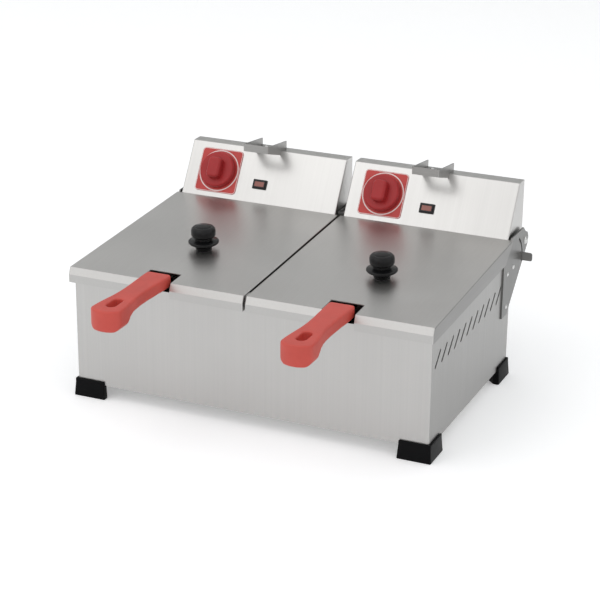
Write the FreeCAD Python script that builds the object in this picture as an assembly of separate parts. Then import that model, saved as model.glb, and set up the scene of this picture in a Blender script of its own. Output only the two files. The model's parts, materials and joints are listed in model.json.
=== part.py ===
import FreeCAD, Part
import math
import os

# Twin-tank countertop deep fryer with tilting control heads, in millimetres.
# While the pieces are shaped, X is 0 midway between the tanks, Y is 0 on the body's front face
# and grows towards the rear, and Z is 0 on the body's bottom edge. The last lines move every
# piece so that the feet stand on Z = 0 and the outline is centred on X = Y = 0.

V = FreeCAD.Vector
X_AXIS = V(1, 0, 0)
Y_AXIS = V(0, 1, 0)
Z_AXIS = V(0, 0, 1)
SIDES = {"left": -1, "right": 1}

# Sheet stock and clearances
sheet = 1.0                  # folded stainless of the casing, lids and heads
bracket_sheet = 1.5          # basket hangers, latch levers, centre bracket
plate_sheet = 2.0            # outer hinge plates
seat_gap = 0.3               # between pieces that lift apart
pin_play = 0.05              # radial play of a running pin
overcut = 5.0                # how far a cutting tool runs past the face it opens

# Body
body_width = 500.0
body_depth = 308.0
wall_rise = 162.9            # height of the front wall
bend = 2.0                   # outside radius of the casing's folds
lip_width = 10.0             # folded lips of the front wall and the back panel
floor_flange = 28.0          # inward flange along the bottom edge
dip_width = 50.0             # dips in the front wall under the basket handles
dip_depth = 14.0
vent_count = 11
vent_pitch = 23.7
vent_run = 28.0              # length of one slanted slit
vent_width = 3.8
vent_slant = 45.0            # degrees
vent_first = 21.5            # centre of the first slit
vent_rise = 113.0
deck_drop = 29.0             # tank rails below the front wall's top
deck_flange = 12.0
body_shoulder = 18.5         # where the sides' top edges turn down, ahead of the rear face
grille_count = 10            # slots in the bottom sheet under each tank
grille_pitch = 22.0
grille_run = 110.0
grille_width = 5.0

# Feet
foot_drop = 20.0             # height of the body above the table
foot_lap = 5.0               # how far a foot climbs the casing
foot_span = 43.0
foot_wrap = 3.0              # how far a foot stands out from the casing
foot_flare = 1.5
foot_bevel = 1.5
foot_corner = 5.0
foot_screw_in = 17.0         # screw position from the casing's two faces
foot_screw_radius = 2.0
foot_screw_head = 4.0
foot_screw_dome = 2.5
foot_screw_sink = 10.0       # depth of the counterbore
foot_screw_tip = 2.0         # screw end above the bottom sheet

# Tanks
tank_aside = 10.25           # tank's outer wall from the casing's side wall
tank_front = 15.0            # inside of the tank's front wall
tank_rear = 8.0              # inside of the rear wall, from the body's rear face
tank_depth = 108.0
tank_corner = 22.0
tank_floor_bend = 12.0
tank_rim = 6.0
tank_rim_corner = 8.0        # flat rim's corners, over the rails' square openings

# Lids
lid_gap = 3.0                # between the two lids
lid_side_reach = 4.0
lid_front_reach = 9.0
lid_slope = 2.8              # degrees, rising to the rear
lid_skirt = 20.0             # depth of the front skirt
lid_skirt_rear = 25.0        # depth of the side skirts at the rear
lid_facet_drop = 9.6         # slanting band over the front skirt
lid_facet_run = 4.0
lid_bend = 1.5
lid_rear_lip = 3.0           # depth of the lid's rear end
lid_relief = 12.0            # inner skirt cut away behind the front wall's lip, for lifting
notch_width = 45.0           # opening for the basket handle
notch_back = 26.0
lid_knob_back = 116.0
lid_knob_aside = 9.5
lid_screw_radius = 2.5

# Control heads
head_gap = 12.6              # between the two heads
head_side_gap = 3.0          # from a head's outer side to the hinge plate
head_over = 83.6             # top of the heads above the front wall
head_under = 15.0            # bottom of the heads below the front wall's top
head_overhang = 54.0         # back of the heads behind the body
head_top_depth = 20.0
head_lean = 31.3             # degrees that the panel leans back
head_bend = 1.5
lug_radius = 10.0

# Panel fittings, placed by distance down the slope from the panel's top edge
dial_size = 64.0
dial_corner = 5.0
dial_thick = 1.0
dial_aside = 69.4            # to the left of the head's middle
dial_down = 40.7
bush_radius = 5.5
shaft_radius = 3.0
shaft_reach = 15.0
knob_radius = 26.0
knob_skirt = 10.0
knob_round = 3.0
knob_float = 0.6             # air between the knob and the dial
knob_grip_width = 20.0
knob_grip_length = 30.0
knob_grip_over = 12.0        # grip bar over the skirt
knob_grip_corner = 6.0
knob_grip_round = 4.0
thermostat_radius = 19.0
thermostat_depth = 24.0
thermostat_bevel = 4.0
lamp_width = 21.5
lamp_height = 14.0
lamp_frame = 2.4
lamp_proud = 1.8
lamp_chamfer = 0.6
lamp_lap = 1.2               # bezel rim over the panel's cut-out
lamp_depth = 14.0
lamp_aside = 2.0
lamp_down = 52.5
lens_dome = 1.2

# Basket hangers
hanger_width = 39.0
hanger_strip = 10.5          # height of the front strip
hanger_reach = 45.0          # strip in front of the panel's top edge
hanger_over = 7.5            # underside of the strip above the head's top
hanger_rear_rise = 11.0      # height of the flanges at their rear end
hanger_grip = 5.0            # how far the flanges run down the panel
hanger_rear_in = 3.0         # flange end short of the head's back
hanger_rivet_side = 9.0
fold_share = 0.9             # outside radius of a strip's fold over its thickness
rivet_radius = 1.6
rivet_head = 3.2
rivet_dome = 1.4

# Tilting hinge
pivot_behind = 58.0          # pivot line behind the body
pivot_below = 3.9            # pivot line below the front wall's top
pivot_radius = 3.0
pivot_head = 5.8
pivot_head_thick = 3.0
pivot_shoulder = 5.0
pivot_nut = 3.0
plate_rear = 12.0            # rear rounding of the hinge plate about the pivot
plate_front = 36.0           # plate's front edge ahead of the body's rear face
plate_top = 22.0             # plate's top edge above the pivot
plate_low = 84.0             # plate's bottom edge below the pivot
plate_corner_drop = 32.0     # slanted front corner
plate_foot = 21.0            # length of the bottom edge
plate_screw_in = 17.5        # casing screws behind the plate's front edge
plate_screw_drops = (25.0, 72.0)
bracket_half = 4.7           # half width of the centre bracket
bracket_web = 1.5

# Latch levers
latch_behind = 6.0           # lever pivot behind the body
latch_below = 22.0           # lever pivot below the tilt pivot
latch_boss = 5.4
latch_arm = 39.0             # pivot to the middle of the bent tab
latch_tab_width = 12.0
latch_tab_reach = 14.5
latch_tab_round = 3.0
latch_rest = 4.0             # degrees above level
latch_swing = 44.0           # degrees of travel
latch_slot_play = 1.0
latch_pin_radius = 2.0
latch_pin_head = 3.8

# Heating element, sensor and cable gland
rod_radius = 4.0
rod_over_floor = 16.0        # rod's axis above the tank floor
rod_spread = 75.0            # outer runs from the tank's middle
rod_inner = 25.0             # inner runs from the tank's middle
rod_bend = 18.0
rod_leg_in = 7.0             # legs ahead of the tank's rear wall
rod_front = 52.0             # front bends behind the tank's front wall, under the basket
rod_back = 66.0              # rear bend ahead of the tank's rear wall
rod_stub = 5.0               # legs above the head's base
gland_radius = 8.0
gland_thick = 6.0
bulb_radius = 3.0
bulb_length = 80.0
bulb_aside = 50.0            # bulb from the tank's middle
capillary_radius = 1.25
capillary_bend = 10.0
cable_gland_radius = 9.0
cable_gland_bore = 4.0
cable_gland_tip = 5.5
cable_gland_flange = 4.0
cable_gland_reach = 12.0
cable_gland_aside = 70.0
cable_gland_rise = 30.0

# Baskets
basket_aside = 13.0          # basket's side walls from the tank's
basket_front = 45.0          # front wall behind the tank's front wall
basket_rear = 28.0           # rear wall ahead of the tank's rear wall
basket_height = 93.0
mesh_thick = 1.5
mesh_border = 7.0
mesh_bar = 5.0
mesh_counts = {"long": 6, "wide": 5, "tall": 3}
rim_radius = 2.5
rim_corner = 10.0
stay_radius = 2.0
stay_aside = 50.0
wire_gap = 0.05
hook_aside = 13.0
hook_rise = 9.0
hook_bend = 3.2
hook_tail = 7.0
tang_width = 16.0
tang_thick = 3.0
tang_drop = 2.5              # tang's top below the front wall's top
tang_leg = 24.0
tang_in_grip = 70.0

# Handle grips
grip_reach = 143.0           # tip in front of the body
grip_back = 8.0              # rear end behind the front face
grip_over = 8.1              # top above the front wall's top
grip_width = 35.0
grip_waist = 32.0
grip_tip_width = 42.0
grip_height = 16.0
grip_tip_height = 28.0
grip_edge = 2.5              # radius round the flat top
grip_rear_round = 4.0        # upright corners at the rear
grip_tip_round = 8.0         # upright corners beside the tip's bow
grip_low_round = 10.0        # lower corners of the tip
grip_bow = 9.0               # how far the tip's face bows out
grip_waist_in = 62.0         # waist from the tip
grip_tip_run = 18.0          # straight underside behind the tip
grip_bend_run = 34.0         # underside's rise from the tip to the bar
grip_hole_length = 30.0
grip_hole_width = 13.0
grip_hole_in = 33.0          # hole's middle from the tip

# Lid knobs, as a turned profile
lid_knob_base = 10.5
lid_knob_waist = 17.0        # where the foot opens out under the finger disc
lid_knob_disc = 20.7
lid_knob_neck = 11.5
lid_knob_cap = 16.4
lid_knob_disc_rise = 9.0
lid_knob_disc_thick = 4.0
lid_knob_neck_rise = 18.0    # where the neck opens out to the cap
lid_knob_cap_rise = 22.0
lid_knob_height = 35.0
lid_knob_round = 1.4         # edge of the finger disc
lid_knob_shoulder = 2.5      # edge of the cap

# Places worked out from the sizes above
slope = math.tan(math.radians(lid_slope))
lean = math.tan(math.radians(head_lean))
half_width = body_width / 2
inner_half = half_width - sheet
lid_outer = half_width + lid_side_reach
unit_x = (lid_gap / 2 + lid_outer) / 2
tank_width = 2 * (inner_half - tank_aside - unit_x)
basket_width = tank_width - 2 * basket_aside
deck_z = wall_rise - deck_drop
rim_z = deck_z + sheet
tank_floor = rim_z - tank_depth
tank_back = body_depth - tank_rear
head_top = wall_rise + head_over
head_low = wall_rise - head_under
head_back = body_depth + head_overhang
head_in = head_gap / 2
head_out = half_width - head_side_gap
head_x = (head_in + head_out) / 2
panel_top = head_back - head_top_depth
pivot_y = body_depth + pivot_behind
pivot_z = wall_rise - pivot_below
plate_front_y = body_depth - plate_front
shoulder_y = body_depth - body_shoulder
latch_y = body_depth + latch_behind
latch_z = pivot_z - latch_below
rod_z = tank_floor + rod_over_floor
leg_y = tank_back - rod_leg_in
mesh_front = tank_front + basket_front
mesh_rear = tank_back - basket_rear
stay_low = rod_z + rod_radius + seat_gap + stay_radius
mesh_floor = stay_low + stay_radius + wire_gap
basket_rim = mesh_floor + basket_height + rim_radius + wire_gap
tang_top = wall_rise - tang_drop
tang_rear = mesh_front + mesh_thick / 2 - rim_radius - wire_gap
rear_end = pivot_y + plate_rear


def wall_top(y):
    """Height of the casing's sloping top edge."""
    return wall_rise + y * slope


def lid_top(y):
    """Height of a lid's upper face."""
    return wall_top(y) + seat_gap + sheet


def panel_at(z):
    """Distance of the leaning panel's face behind the front wall at a height."""
    return panel_top - (head_top - z) * lean


def panel_inside(z):
    """Distance of the panel's inner face behind the front wall at a height."""
    return panel_at(z) + sheet / math.cos(math.radians(head_lean))


# The lid's rear edge stops short of the leaning panel.
lid_rear = (panel_at(lid_top(0)) - sheet - seat_gap) / (1 - lean * slope)


# Small shaping helpers

def box(x, y, z):
    """Block between two values on each axis."""
    (x0, x1), (y0, y1), (z0, z1) = sorted(x), sorted(y), sorted(z)
    return Part.makeBox(x1 - x0, y1 - y0, z1 - z0, V(x0, y0, z0))


def side_prism(outline, x):
    """Closed outline of (y, z) points, carried across a width in X."""
    points = [V(min(x), y, z) for y, z in outline]
    face = Part.Face(Part.makePolygon(points + points[:1]))
    return face.extrude(V(max(x) - min(x), 0, 0))


def cylinder(base, axis, radius, length):
    """Round bar from a base point along an axis."""
    return Part.makeCylinder(radius, length, base, axis)


def turned(profile):
    """Solid of revolution about Z from (radius, height) points."""
    points = [V(radius, 0, height) for radius, height in profile]
    face = Part.Face(Part.makePolygon(points + points[:1]))
    return face.revolve(V(0, 0, 0), Z_AXIS, 360)


def turned_with_dome(profile, crown):
    """Solid of revolution whose last profile point runs up to a crown on the axis in one arc."""
    points = [V(radius, 0, height) for radius, height in profile]
    reach = points[-1].x
    rise = crown - points[-1].z
    radius = (reach ** 2 + rise ** 2) / (2 * rise)
    half_turn = math.atan2(reach, radius - rise) / 2
    middle = V(radius * math.sin(half_turn), 0, crown - radius + radius * math.cos(half_turn))
    top = V(0, 0, crown)
    edges = [Part.makeLine(start, end) for start, end in zip(points, points[1:])]
    edges.append(Part.Arc(points[-1], middle, top).toShape())
    edges.append(Part.makeLine(top, points[0]))
    return Part.Face(Part.Wire(edges)).revolve(V(0, 0, 0), Z_AXIS, 360)


def rounded_outline(width, depth, radius):
    """Wire of a rectangle with round corners, centred on the origin in the XY plane."""
    u = width / 2 - radius
    v = depth / 2 - radius
    edges = []
    corners = ((u, v), (-u, v), (-u, -v), (u, -v))
    for quarter, (cx, cy) in enumerate(corners):
        start = quarter * math.pi / 2
        circle = Part.Circle(V(cx, cy, 0), Z_AXIS, radius)
        edges.append(Part.Arc(circle, start, start + math.pi / 2).toShape())
    sides = [Part.makeLine(edges[i].lastVertex().Point, edges[(i + 1) % 4].firstVertex().Point)
             for i in range(4)]
    ordered = [edge for pair in zip(edges, sides) for edge in pair]
    return Part.Wire(ordered)


def rounded_block(width, depth, radius, z):
    """Upright block with round corners, centred on the Z axis."""
    outline = rounded_outline(width, depth, radius)
    outline.translate(V(0, 0, min(z)))
    return Part.Face(outline).extrude(V(0, 0, max(z) - min(z)))


def stadium(length, width, height):
    """Upright block with two round ends, long in X and standing on Z = 0."""
    reach = length / 2 - width / 2
    half = width / 2
    right = Part.Arc(V(reach, -half, 0), V(reach + half, 0, 0), V(reach, half, 0)).toShape()
    left = Part.Arc(V(-reach, half, 0), V(-reach - half, 0, 0), V(-reach, -half, 0)).toShape()
    top = Part.makeLine(V(reach, half, 0), V(-reach, half, 0))
    low = Part.makeLine(V(-reach, -half, 0), V(reach, -half, 0))
    return Part.Face(Part.Wire([right, top, left, low])).extrude(V(0, 0, height))


def edges_where(shape, test):
    """Edges whose two ends and middle all pass a test."""
    chosen = []
    for edge in shape.Edges:
        middle = edge.valueAt((edge.FirstParameter + edge.LastParameter) / 2)
        points = [vertex.Point for vertex in edge.Vertexes] + [middle]
        if all(test(point) for point in points):
            chosen.append(edge)
    return chosen


def near(a, b):
    """True where two coordinates are the same place."""
    return abs(a - b) < 1e-4


def rod(points, bends, radius):
    """Round rod along straight runs joined by tangent arcs, one bend radius per corner."""
    edges = []
    start = points[0]
    for before, corner, after, bend_radius in zip(points, points[1:], points[2:], bends):
        into = (corner - before).normalize()
        out = (after - corner).normalize()
        setback = bend_radius * math.tan(into.getAngle(out) / 2)
        first = corner - into * setback
        last = corner + out * setback
        middle = out - into
        middle.normalize()
        centre_far = bend_radius / math.cos(into.getAngle(out) / 2)
        crown = corner + middle * (centre_far - bend_radius)
        if first.distanceToPoint(start) > 1e-6:
            edges.append(Part.makeLine(start, first))
        edges.append(Part.Arc(first, crown, last).toShape())
        start = last
    edges.append(Part.makeLine(start, points[-1]))
    path = Part.Wire(edges)
    heading = (points[1] - points[0]).normalize()
    section = Part.Wire(Part.makeCircle(radius, points[0], heading))
    return path.makePipeShell([section], True, False)


def on_panel(shape, x, down):
    """Carry a shape modelled on a level face to the leaning panel."""
    angle = math.radians(head_lean)
    seat = V(x, panel_top - down * math.sin(angle), head_top - down * math.cos(angle))
    placed = shape.copy()
    placed.Placement = FreeCAD.Placement(seat, FreeCAD.Rotation(X_AXIS, 90 - head_lean))
    return placed


def at_dial(shape, side):
    """Carry a shape modelled on a level face to a head's dial."""
    return on_panel(shape, side * head_x - dial_aside, dial_down)


def at_lamp(shape, side):
    """Carry a shape modelled on a level face to a head's pilot lamp."""
    return on_panel(shape, side * head_x - lamp_aside, lamp_down)


def span(side, inner, outer):
    """X range of a piece on the left or right half."""
    return sorted((side * inner, side * outer))


# Casing

def vent_cutters():
    """Row of slanted slits through both side walls."""
    slit = stadium(vent_run, vent_width, body_width + 2 * overcut)
    slit.Placement = FreeCAD.Placement(V(0, 0, 0), FreeCAD.Rotation(Y_AXIS, Z_AXIS, X_AXIS))
    slit.rotate(V(0, 0, 0), X_AXIS, vent_slant)
    row = []
    for number in range(vent_count):
        cutter = slit.copy()
        cutter.translate(V(-half_width - overcut, vent_first + number * vent_pitch, vent_rise))
        row.append(cutter)
    return Part.makeCompound(row)


def foot_screw_places():
    """Screw axes in the four corners."""
    x = half_width - foot_screw_in
    return [V(sx * x, y, 0) for sx in (-1, 1) for y in (foot_screw_in, body_depth - foot_screw_in)]


def screw_holes(radius, z):
    """Round cutters on the four foot screws."""
    return Part.makeCompound([cylinder(place + V(0, 0, min(z)), Z_AXIS, radius, max(z) - min(z))
                              for place in foot_screw_places()])


def plate_screw_places():
    """Casing screws of a hinge plate, as (y, z)."""
    return [(plate_front_y + plate_screw_in, pivot_z - drop) for drop in plate_screw_drops]


def through_sides(places, radius):
    """Cutters along X through both sides."""
    start = -half_width - overcut
    length = body_width + 2 * overcut
    return Part.makeCompound([cylinder(V(start, y, z), X_AXIS, radius, length) for y, z in places])


def make_body_shell():
    """Front wall and both sides in one wrap, open at the rear."""
    outline = [(0, 0), (body_depth, 0), (body_depth, head_low),
               (shoulder_y, wall_top(shoulder_y)), (0, wall_top(0))]
    outer = side_prism(outline, (-half_width, half_width))
    corners = edges_where(outer, lambda p: near(p.y, 0) and near(abs(p.x), half_width))
    outer = outer.makeFillet(bend, corners)
    hollow = box((-inner_half, inner_half), (sheet, body_depth + overcut), (-overcut, head_top))
    shell = outer.cut(hollow)
    lip = box((-inner_half, inner_half), (sheet, sheet + lip_width), (wall_rise - sheet, wall_rise))
    floor = box((-inner_half, inner_half), (sheet, body_depth), (0, sheet))
    opening = box((floor_flange - half_width, half_width - floor_flange),
                  (floor_flange, body_depth + overcut), (-overcut, overcut))
    shell = shell.multiFuse([lip, floor.cut(opening)])
    for side in SIDES.values():
        dip = rounded_block(dip_width, 2 * dip_depth, bend, (0, lip_width + 2 * overcut))
        dip.rotate(V(0, 0, 0), X_AXIS, -90)
        dip.translate(V(side * unit_x, -overcut, wall_rise))
        shell = shell.cut(dip)
    shell = shell.cut(vent_cutters())
    shell = shell.cut(screw_holes(foot_screw_radius, (-overcut, overcut)))
    return shell.cut(through_sides(plate_screw_places(), rivet_radius)).removeSplitter()


def make_back_panel():
    """Rear wall with a folded top lip and a folded foot."""
    top = head_low - bracket_sheet
    reach = half_width - floor_flange
    wall = box((-inner_half, inner_half), (body_depth - sheet, body_depth), (sheet, top))
    foot = box((-reach, reach), (body_depth - floor_flange, body_depth), (0, sheet))
    lip = box((-inner_half, inner_half), (body_depth - lip_width / 2, body_depth), (top - sheet, top))
    return wall.multiFuse([foot, lip]).removeSplitter()


def make_base_plate():
    """Bottom sheet lying on the casing's flanges, with a grille of slots."""
    plate = box((-inner_half, inner_half), (sheet, body_depth - sheet), (sheet, 2 * sheet))
    plate = plate.cut(screw_holes(foot_screw_radius, (0, overcut)))
    first = body_depth / 2 - grille_pitch * (grille_count - 1) / 2
    slots = []
    for side in SIDES.values():
        for number in range(grille_count):
            slot = stadium(grille_run, grille_width, overcut)
            slot.translate(V(side * unit_x, first + number * grille_pitch, 0))
            slots.append(slot)
    return plate.cut(Part.makeCompound(slots))


def tank_block(clear, corner, z):
    """Plan of both tanks, grown by a clearance."""
    width = tank_width + 2 * clear
    depth = tank_back - tank_front + 2 * clear
    block = rounded_block(width, depth, corner + clear, z)
    block.translate(V(0, (tank_back + tank_front) / 2, 0))
    return block


def make_deck():
    """Rails that carry both tanks: one folded along each wall and a flat one between the tanks."""
    reach = tank_width / 2 + sheet + seat_gap
    front = tank_front - sheet - seat_gap
    rear = tank_back + sheet + seat_gap
    plate = (deck_z, rim_z)
    fold = (deck_z - deck_flange, deck_z)
    across = (-inner_half, inner_half)
    along = (front + pin_play, rear - pin_play)
    rails = [box((reach - unit_x, unit_x - reach), along, plate)]
    for wall, inner in ((sheet, front), (body_depth - sheet, rear)):
        folded = wall + math.copysign(sheet, inner - wall)
        rails.append(box(across, (wall, inner), plate).fuse(box(across, (wall, folded), fold)))
    for side in SIDES.values():
        wall = side * inner_half
        inner = side * (unit_x + reach)
        rails.append(box((wall, inner), along, plate).fuse(box((wall, wall - side * sheet), along, fold)))
    return Part.makeCompound([rail.removeSplitter() for rail in rails])


def make_tank(side):
    """Drawn pan with a round-cornered floor and a flat rim."""
    outer = tank_block(sheet, tank_corner, (tank_floor - sheet, rim_z + sheet))
    outer = outer.makeFillet(tank_floor_bend + sheet,
                             edges_where(outer, lambda p: near(p.z, tank_floor - sheet)))
    inner = tank_block(0, tank_corner, (tank_floor, rim_z + overcut))
    inner = inner.makeFillet(tank_floor_bend, edges_where(inner, lambda p: near(p.z, tank_floor)))
    rim = tank_block(tank_rim, tank_rim_corner - tank_rim, (rim_z, rim_z + sheet))
    pan = outer.fuse(rim).cut(inner).removeSplitter()
    pan.translate(V(side * unit_x, 0, 0))
    return pan


def make_foot(side, rear):
    """Moulded boot round one lower corner of the casing."""
    stations = ((-foot_drop, foot_flare), (foot_lap - foot_bevel, 0), (foot_lap, -foot_bevel))
    wires = []
    for height, spread in stations:
        wire = rounded_outline(foot_span + 2 * spread, foot_span + 2 * spread, foot_corner)
        wire.translate(V(foot_span / 2 - foot_wrap, foot_span / 2 - foot_wrap, height))
        wires.append(wire)
    boot = Part.makeLoft(wires, True, True)
    boot = boot.cut(box((0, foot_span * 2), (0, foot_span * 2), (0, foot_span)))
    middle = V(foot_screw_in, foot_screw_in, -foot_drop - overcut)
    boot = boot.cut(cylinder(middle, Z_AXIS, foot_screw_radius + pin_play, foot_drop + 2 * overcut))
    boot = boot.cut(cylinder(middle, Z_AXIS, foot_screw_head + seat_gap, foot_screw_sink + overcut))
    boot.translate(V(-half_width, 0, 0))
    if side > 0:
        boot = boot.mirror(V(0, 0, 0), X_AXIS)
    if rear:
        boot = boot.mirror(V(0, body_depth / 2, 0), Y_AXIS)
    return boot


def make_foot_screws():
    """Four screws up through the feet into the base plate."""
    seat = foot_screw_sink - foot_drop
    length = 2 * sheet + foot_screw_tip - seat
    screws = []
    for place in foot_screw_places():
        screw = domed_rivet(length, foot_screw_radius - pin_play, foot_screw_head, foot_screw_dome)
        screw.rotate(V(0, 0, 0), X_AXIS, 180)
        screw.translate(place + V(0, 0, seat))
        screws.append(screw)
    return Part.makeCompound(screws)


# Tilting hinge

def hinge_outline():
    """Closed wire of the hinge plate in the YZ plane, with a round rear corner."""
    angle = math.atan2(plate_low, pivot_y - plate_front_y - plate_foot)
    back = V(0, pivot_y + plate_rear * math.sin(angle), pivot_z - plate_rear * math.cos(angle))
    crown = V(0, pivot_y + plate_rear, pivot_z)
    top_rear = V(0, pivot_y, pivot_z + plate_rear)
    shoulder = V(0, pivot_y - plate_rear, pivot_z + plate_top)
    top_front = V(0, plate_front_y + plate_corner_drop, pivot_z + plate_top)
    front_high = V(0, plate_front_y, pivot_z + plate_top - plate_corner_drop)
    front_low = V(0, plate_front_y, pivot_z - plate_low)
    foot_end = V(0, plate_front_y + plate_foot, pivot_z - plate_low)
    lines = [(top_rear, shoulder), (shoulder, top_front), (top_front, front_high),
             (front_high, front_low), (front_low, foot_end), (foot_end, back)]
    edges = [Part.Arc(back, crown, top_rear).toShape()]
    edges += [Part.makeLine(start, end) for start, end in lines]
    return Part.Wire(edges)


def latch_point(radius, degrees, x):
    """Point on a circle about the latch lever's pivot."""
    turn = math.radians(degrees)
    return V(x, latch_y + radius * math.cos(turn), latch_z + radius * math.sin(turn))


def latch_slot(x):
    """Curved slot that the lever's tab travels in."""
    thick = bracket_sheet / 2 + latch_slot_play
    low, high = latch_arm - thick, latch_arm + thick
    spread = math.degrees((latch_tab_width / 2 + latch_slot_play) / low)
    first, last = latch_rest - spread, latch_rest + latch_swing + spread
    half = (first + last) / 2
    outer = Part.Arc(*[latch_point(high, turn, min(x)) for turn in (first, half, last)]).toShape()
    inner = Part.Arc(*[latch_point(low, turn, min(x)) for turn in (last, half, first)]).toShape()
    ends = [Part.makeLine(latch_point(a, turn, min(x)), latch_point(b, turn, min(x)))
            for a, b, turn in ((high, low, last), (low, high, first))]
    face = Part.Face(Part.Wire([outer, ends[0], inner, ends[1]]))
    return face.extrude(V(max(x) - min(x), 0, 0))


def make_hinge_plate(side):
    """Outer cheek that carries a head's pivot and the latch lever."""
    plate = Part.Face(hinge_outline()).extrude(V(plate_sheet, 0, 0))
    plate = plate.cut(latch_slot((-overcut, overcut)))
    holes = [(pivot_y, pivot_z, pivot_radius), (latch_y, latch_z, latch_pin_radius)]
    holes += [(y, z, rivet_radius) for y, z in plate_screw_places()]
    for y, z, radius in holes:
        hole = cylinder(V(-overcut, y, z), X_AXIS, radius + pin_play, plate_sheet + 2 * overcut)
        plate = plate.cut(hole)
    plate.translate(V(half_width, 0, 0))
    return plate if side > 0 else plate.mirror(V(0, 0, 0), X_AXIS)


def make_centre_bracket():
    """Folded channel behind the body that carries the heads' inner pivots."""
    block = Part.Face(hinge_outline()).extrude(V(2 * bracket_half, 0, 0))
    block.translate(V(-bracket_half, 0, 0))
    rear = box((-half_width, half_width), (body_depth, rear_end + overcut), (-overcut, head_top))
    block = block.common(rear)
    inner = bracket_half - bracket_sheet
    hollow = box((-inner, inner), (body_depth + bracket_web, rear_end + overcut), (-overcut, head_top))
    hole = cylinder(V(-half_width, pivot_y, pivot_z), X_AXIS, pivot_radius + pin_play, body_width)
    return block.cut(hollow).cut(hole)


def make_pivot_screws():
    """Two shouldered outer screws and the centre pin."""
    lug_in = head_out - sheet
    face = half_width + plate_sheet
    screw = [(0, lug_in - pivot_nut), (pivot_shoulder, lug_in - pivot_nut),
             (pivot_shoulder, lug_in - pin_play), (pivot_radius, lug_in - pin_play),
             (pivot_radius, head_out + pin_play), (pivot_shoulder, head_out + pin_play),
             (pivot_shoulder, half_width), (pivot_radius, half_width), (pivot_radius, face),
             (pivot_head, face)]
    outer = turned_with_dome(screw, face + pivot_head_thick)
    lug_end = head_in + sheet + pin_play
    half = [(pivot_radius, bracket_half - bracket_sheet), (pivot_radius, bracket_half),
            (pivot_shoulder, bracket_half), (pivot_shoulder, head_in - pin_play),
            (pivot_radius, head_in - pin_play), (pivot_radius, lug_end),
            (pivot_shoulder, lug_end), (pivot_shoulder, lug_end + pivot_nut)]
    centre = turned([(0, -lug_end - pivot_nut)] + [(r, -h) for r, h in reversed(half)] + half
                    + [(0, lug_end + pivot_nut)])
    pins = []
    for pin in (outer, outer.mirror(V(0, 0, 0), Z_AXIS), centre):
        pin.rotate(V(0, 0, 0), Y_AXIS, 90)
        pin.translate(V(0, pivot_y, pivot_z))
        pins.append(pin)
    return Part.makeCompound(pins)


def domed_rivet(length, radius, head, dome):
    """Rivet standing on Z = 0 with its shank below."""
    return turned_with_dome([(0, -length), (radius, -length), (radius, 0), (head, 0)], dome)


def side_rivets(places, length, radius, head):
    """Rivets on both hinge plates, heads outwards."""
    rivets = []
    for y, z in places:
        for side in SIDES.values():
            rivet = domed_rivet(length, radius, head, rivet_dome)
            rivet.rotate(V(0, 0, 0), Y_AXIS, side * 90)
            rivet.translate(V(side * (half_width + plate_sheet), y, z))
            rivets.append(rivet)
    return Part.makeCompound(rivets)


def make_latch_lever(side):
    """Flat arm with a round boss and a tab bent outwards through the plate's slot."""
    arm_out = half_width - seat_gap / 2
    arm_in = arm_out - bracket_sheet
    tab_end = half_width + plate_sheet + latch_tab_reach
    half = latch_tab_width / 2
    tip = latch_arm + bracket_sheet / 2
    outline = [(0, -latch_boss), (tip, -half), (tip, half), (0, latch_boss)]
    arm = side_prism(outline, (arm_in, arm_out))
    boss = cylinder(V(arm_in, 0, 0), X_AXIS, latch_boss, bracket_sheet)
    tab = box((arm_in, tab_end), (tip - bracket_sheet, tip), (-half, half))
    corners = edges_where(tab, lambda p: near(p.x, tab_end) and near(abs(p.z), half))
    tab = tab.makeFillet(latch_tab_round, corners)
    hole = cylinder(V(0, 0, 0), X_AXIS, latch_pin_radius + pin_play, body_width)
    lever = arm.multiFuse([boss, tab]).cut(hole).removeSplitter()
    lever.rotate(V(0, 0, 0), X_AXIS, latch_rest)
    lever.translate(V(0, latch_y, latch_z))
    return lever if side > 0 else lever.mirror(V(0, 0, 0), X_AXIS)


# Control heads

def make_head_shell(side):
    """Folded hood: leaning panel, narrow top, two sides with pivot lugs."""
    x = span(side, head_in, head_out)
    outline = [(panel_at(head_low), head_low), (panel_top, head_top),
               (head_back, head_top), (head_back, head_low)]
    outer = side_prism(outline, x)
    folds = edges_where(outer, lambda p: near(p.z, head_top) and not near(p.y, head_back))
    folds += edges_where(outer, lambda p: near(p.y, panel_at(p.z)) and (near(p.x, x[0]) or near(p.x, x[1])))
    outer = outer.makeFillet(head_bend, folds)
    under = head_low - overcut
    ceiling = head_top - sheet
    hollow = side_prism([(panel_inside(under), under), (panel_inside(ceiling), ceiling),
                         (head_back + overcut, ceiling), (head_back + overcut, under)],
                        (x[0] + sheet, x[1] - sheet))
    shell = outer.cut(hollow)
    for edge in (x[0], x[1] - sheet):
        lug = cylinder(V(edge, pivot_y, pivot_z), X_AXIS, lug_radius, sheet)
        arm = box((edge, edge + sheet), (head_back - lug_radius, pivot_y),
                  (pivot_z - lug_radius, pivot_z + lug_radius))
        shell = shell.multiFuse([lug, arm])
    pivot = cylinder(V(x[0] - overcut, pivot_y, pivot_z), X_AXIS, pivot_radius + pin_play,
                     x[1] - x[0] + 2 * overcut)
    bush = cylinder(V(0, 0, -overcut), Z_AXIS, bush_radius, 2 * overcut)
    lamp = rounded_block(lamp_width - 2 * lamp_lap, lamp_height - 2 * lamp_lap, lamp_lap, (-overcut, overcut))
    cutters = [pivot, at_dial(bush, side), at_lamp(lamp, side)]
    return shell.cut(Part.makeCompound(cutters)).removeSplitter()


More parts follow.
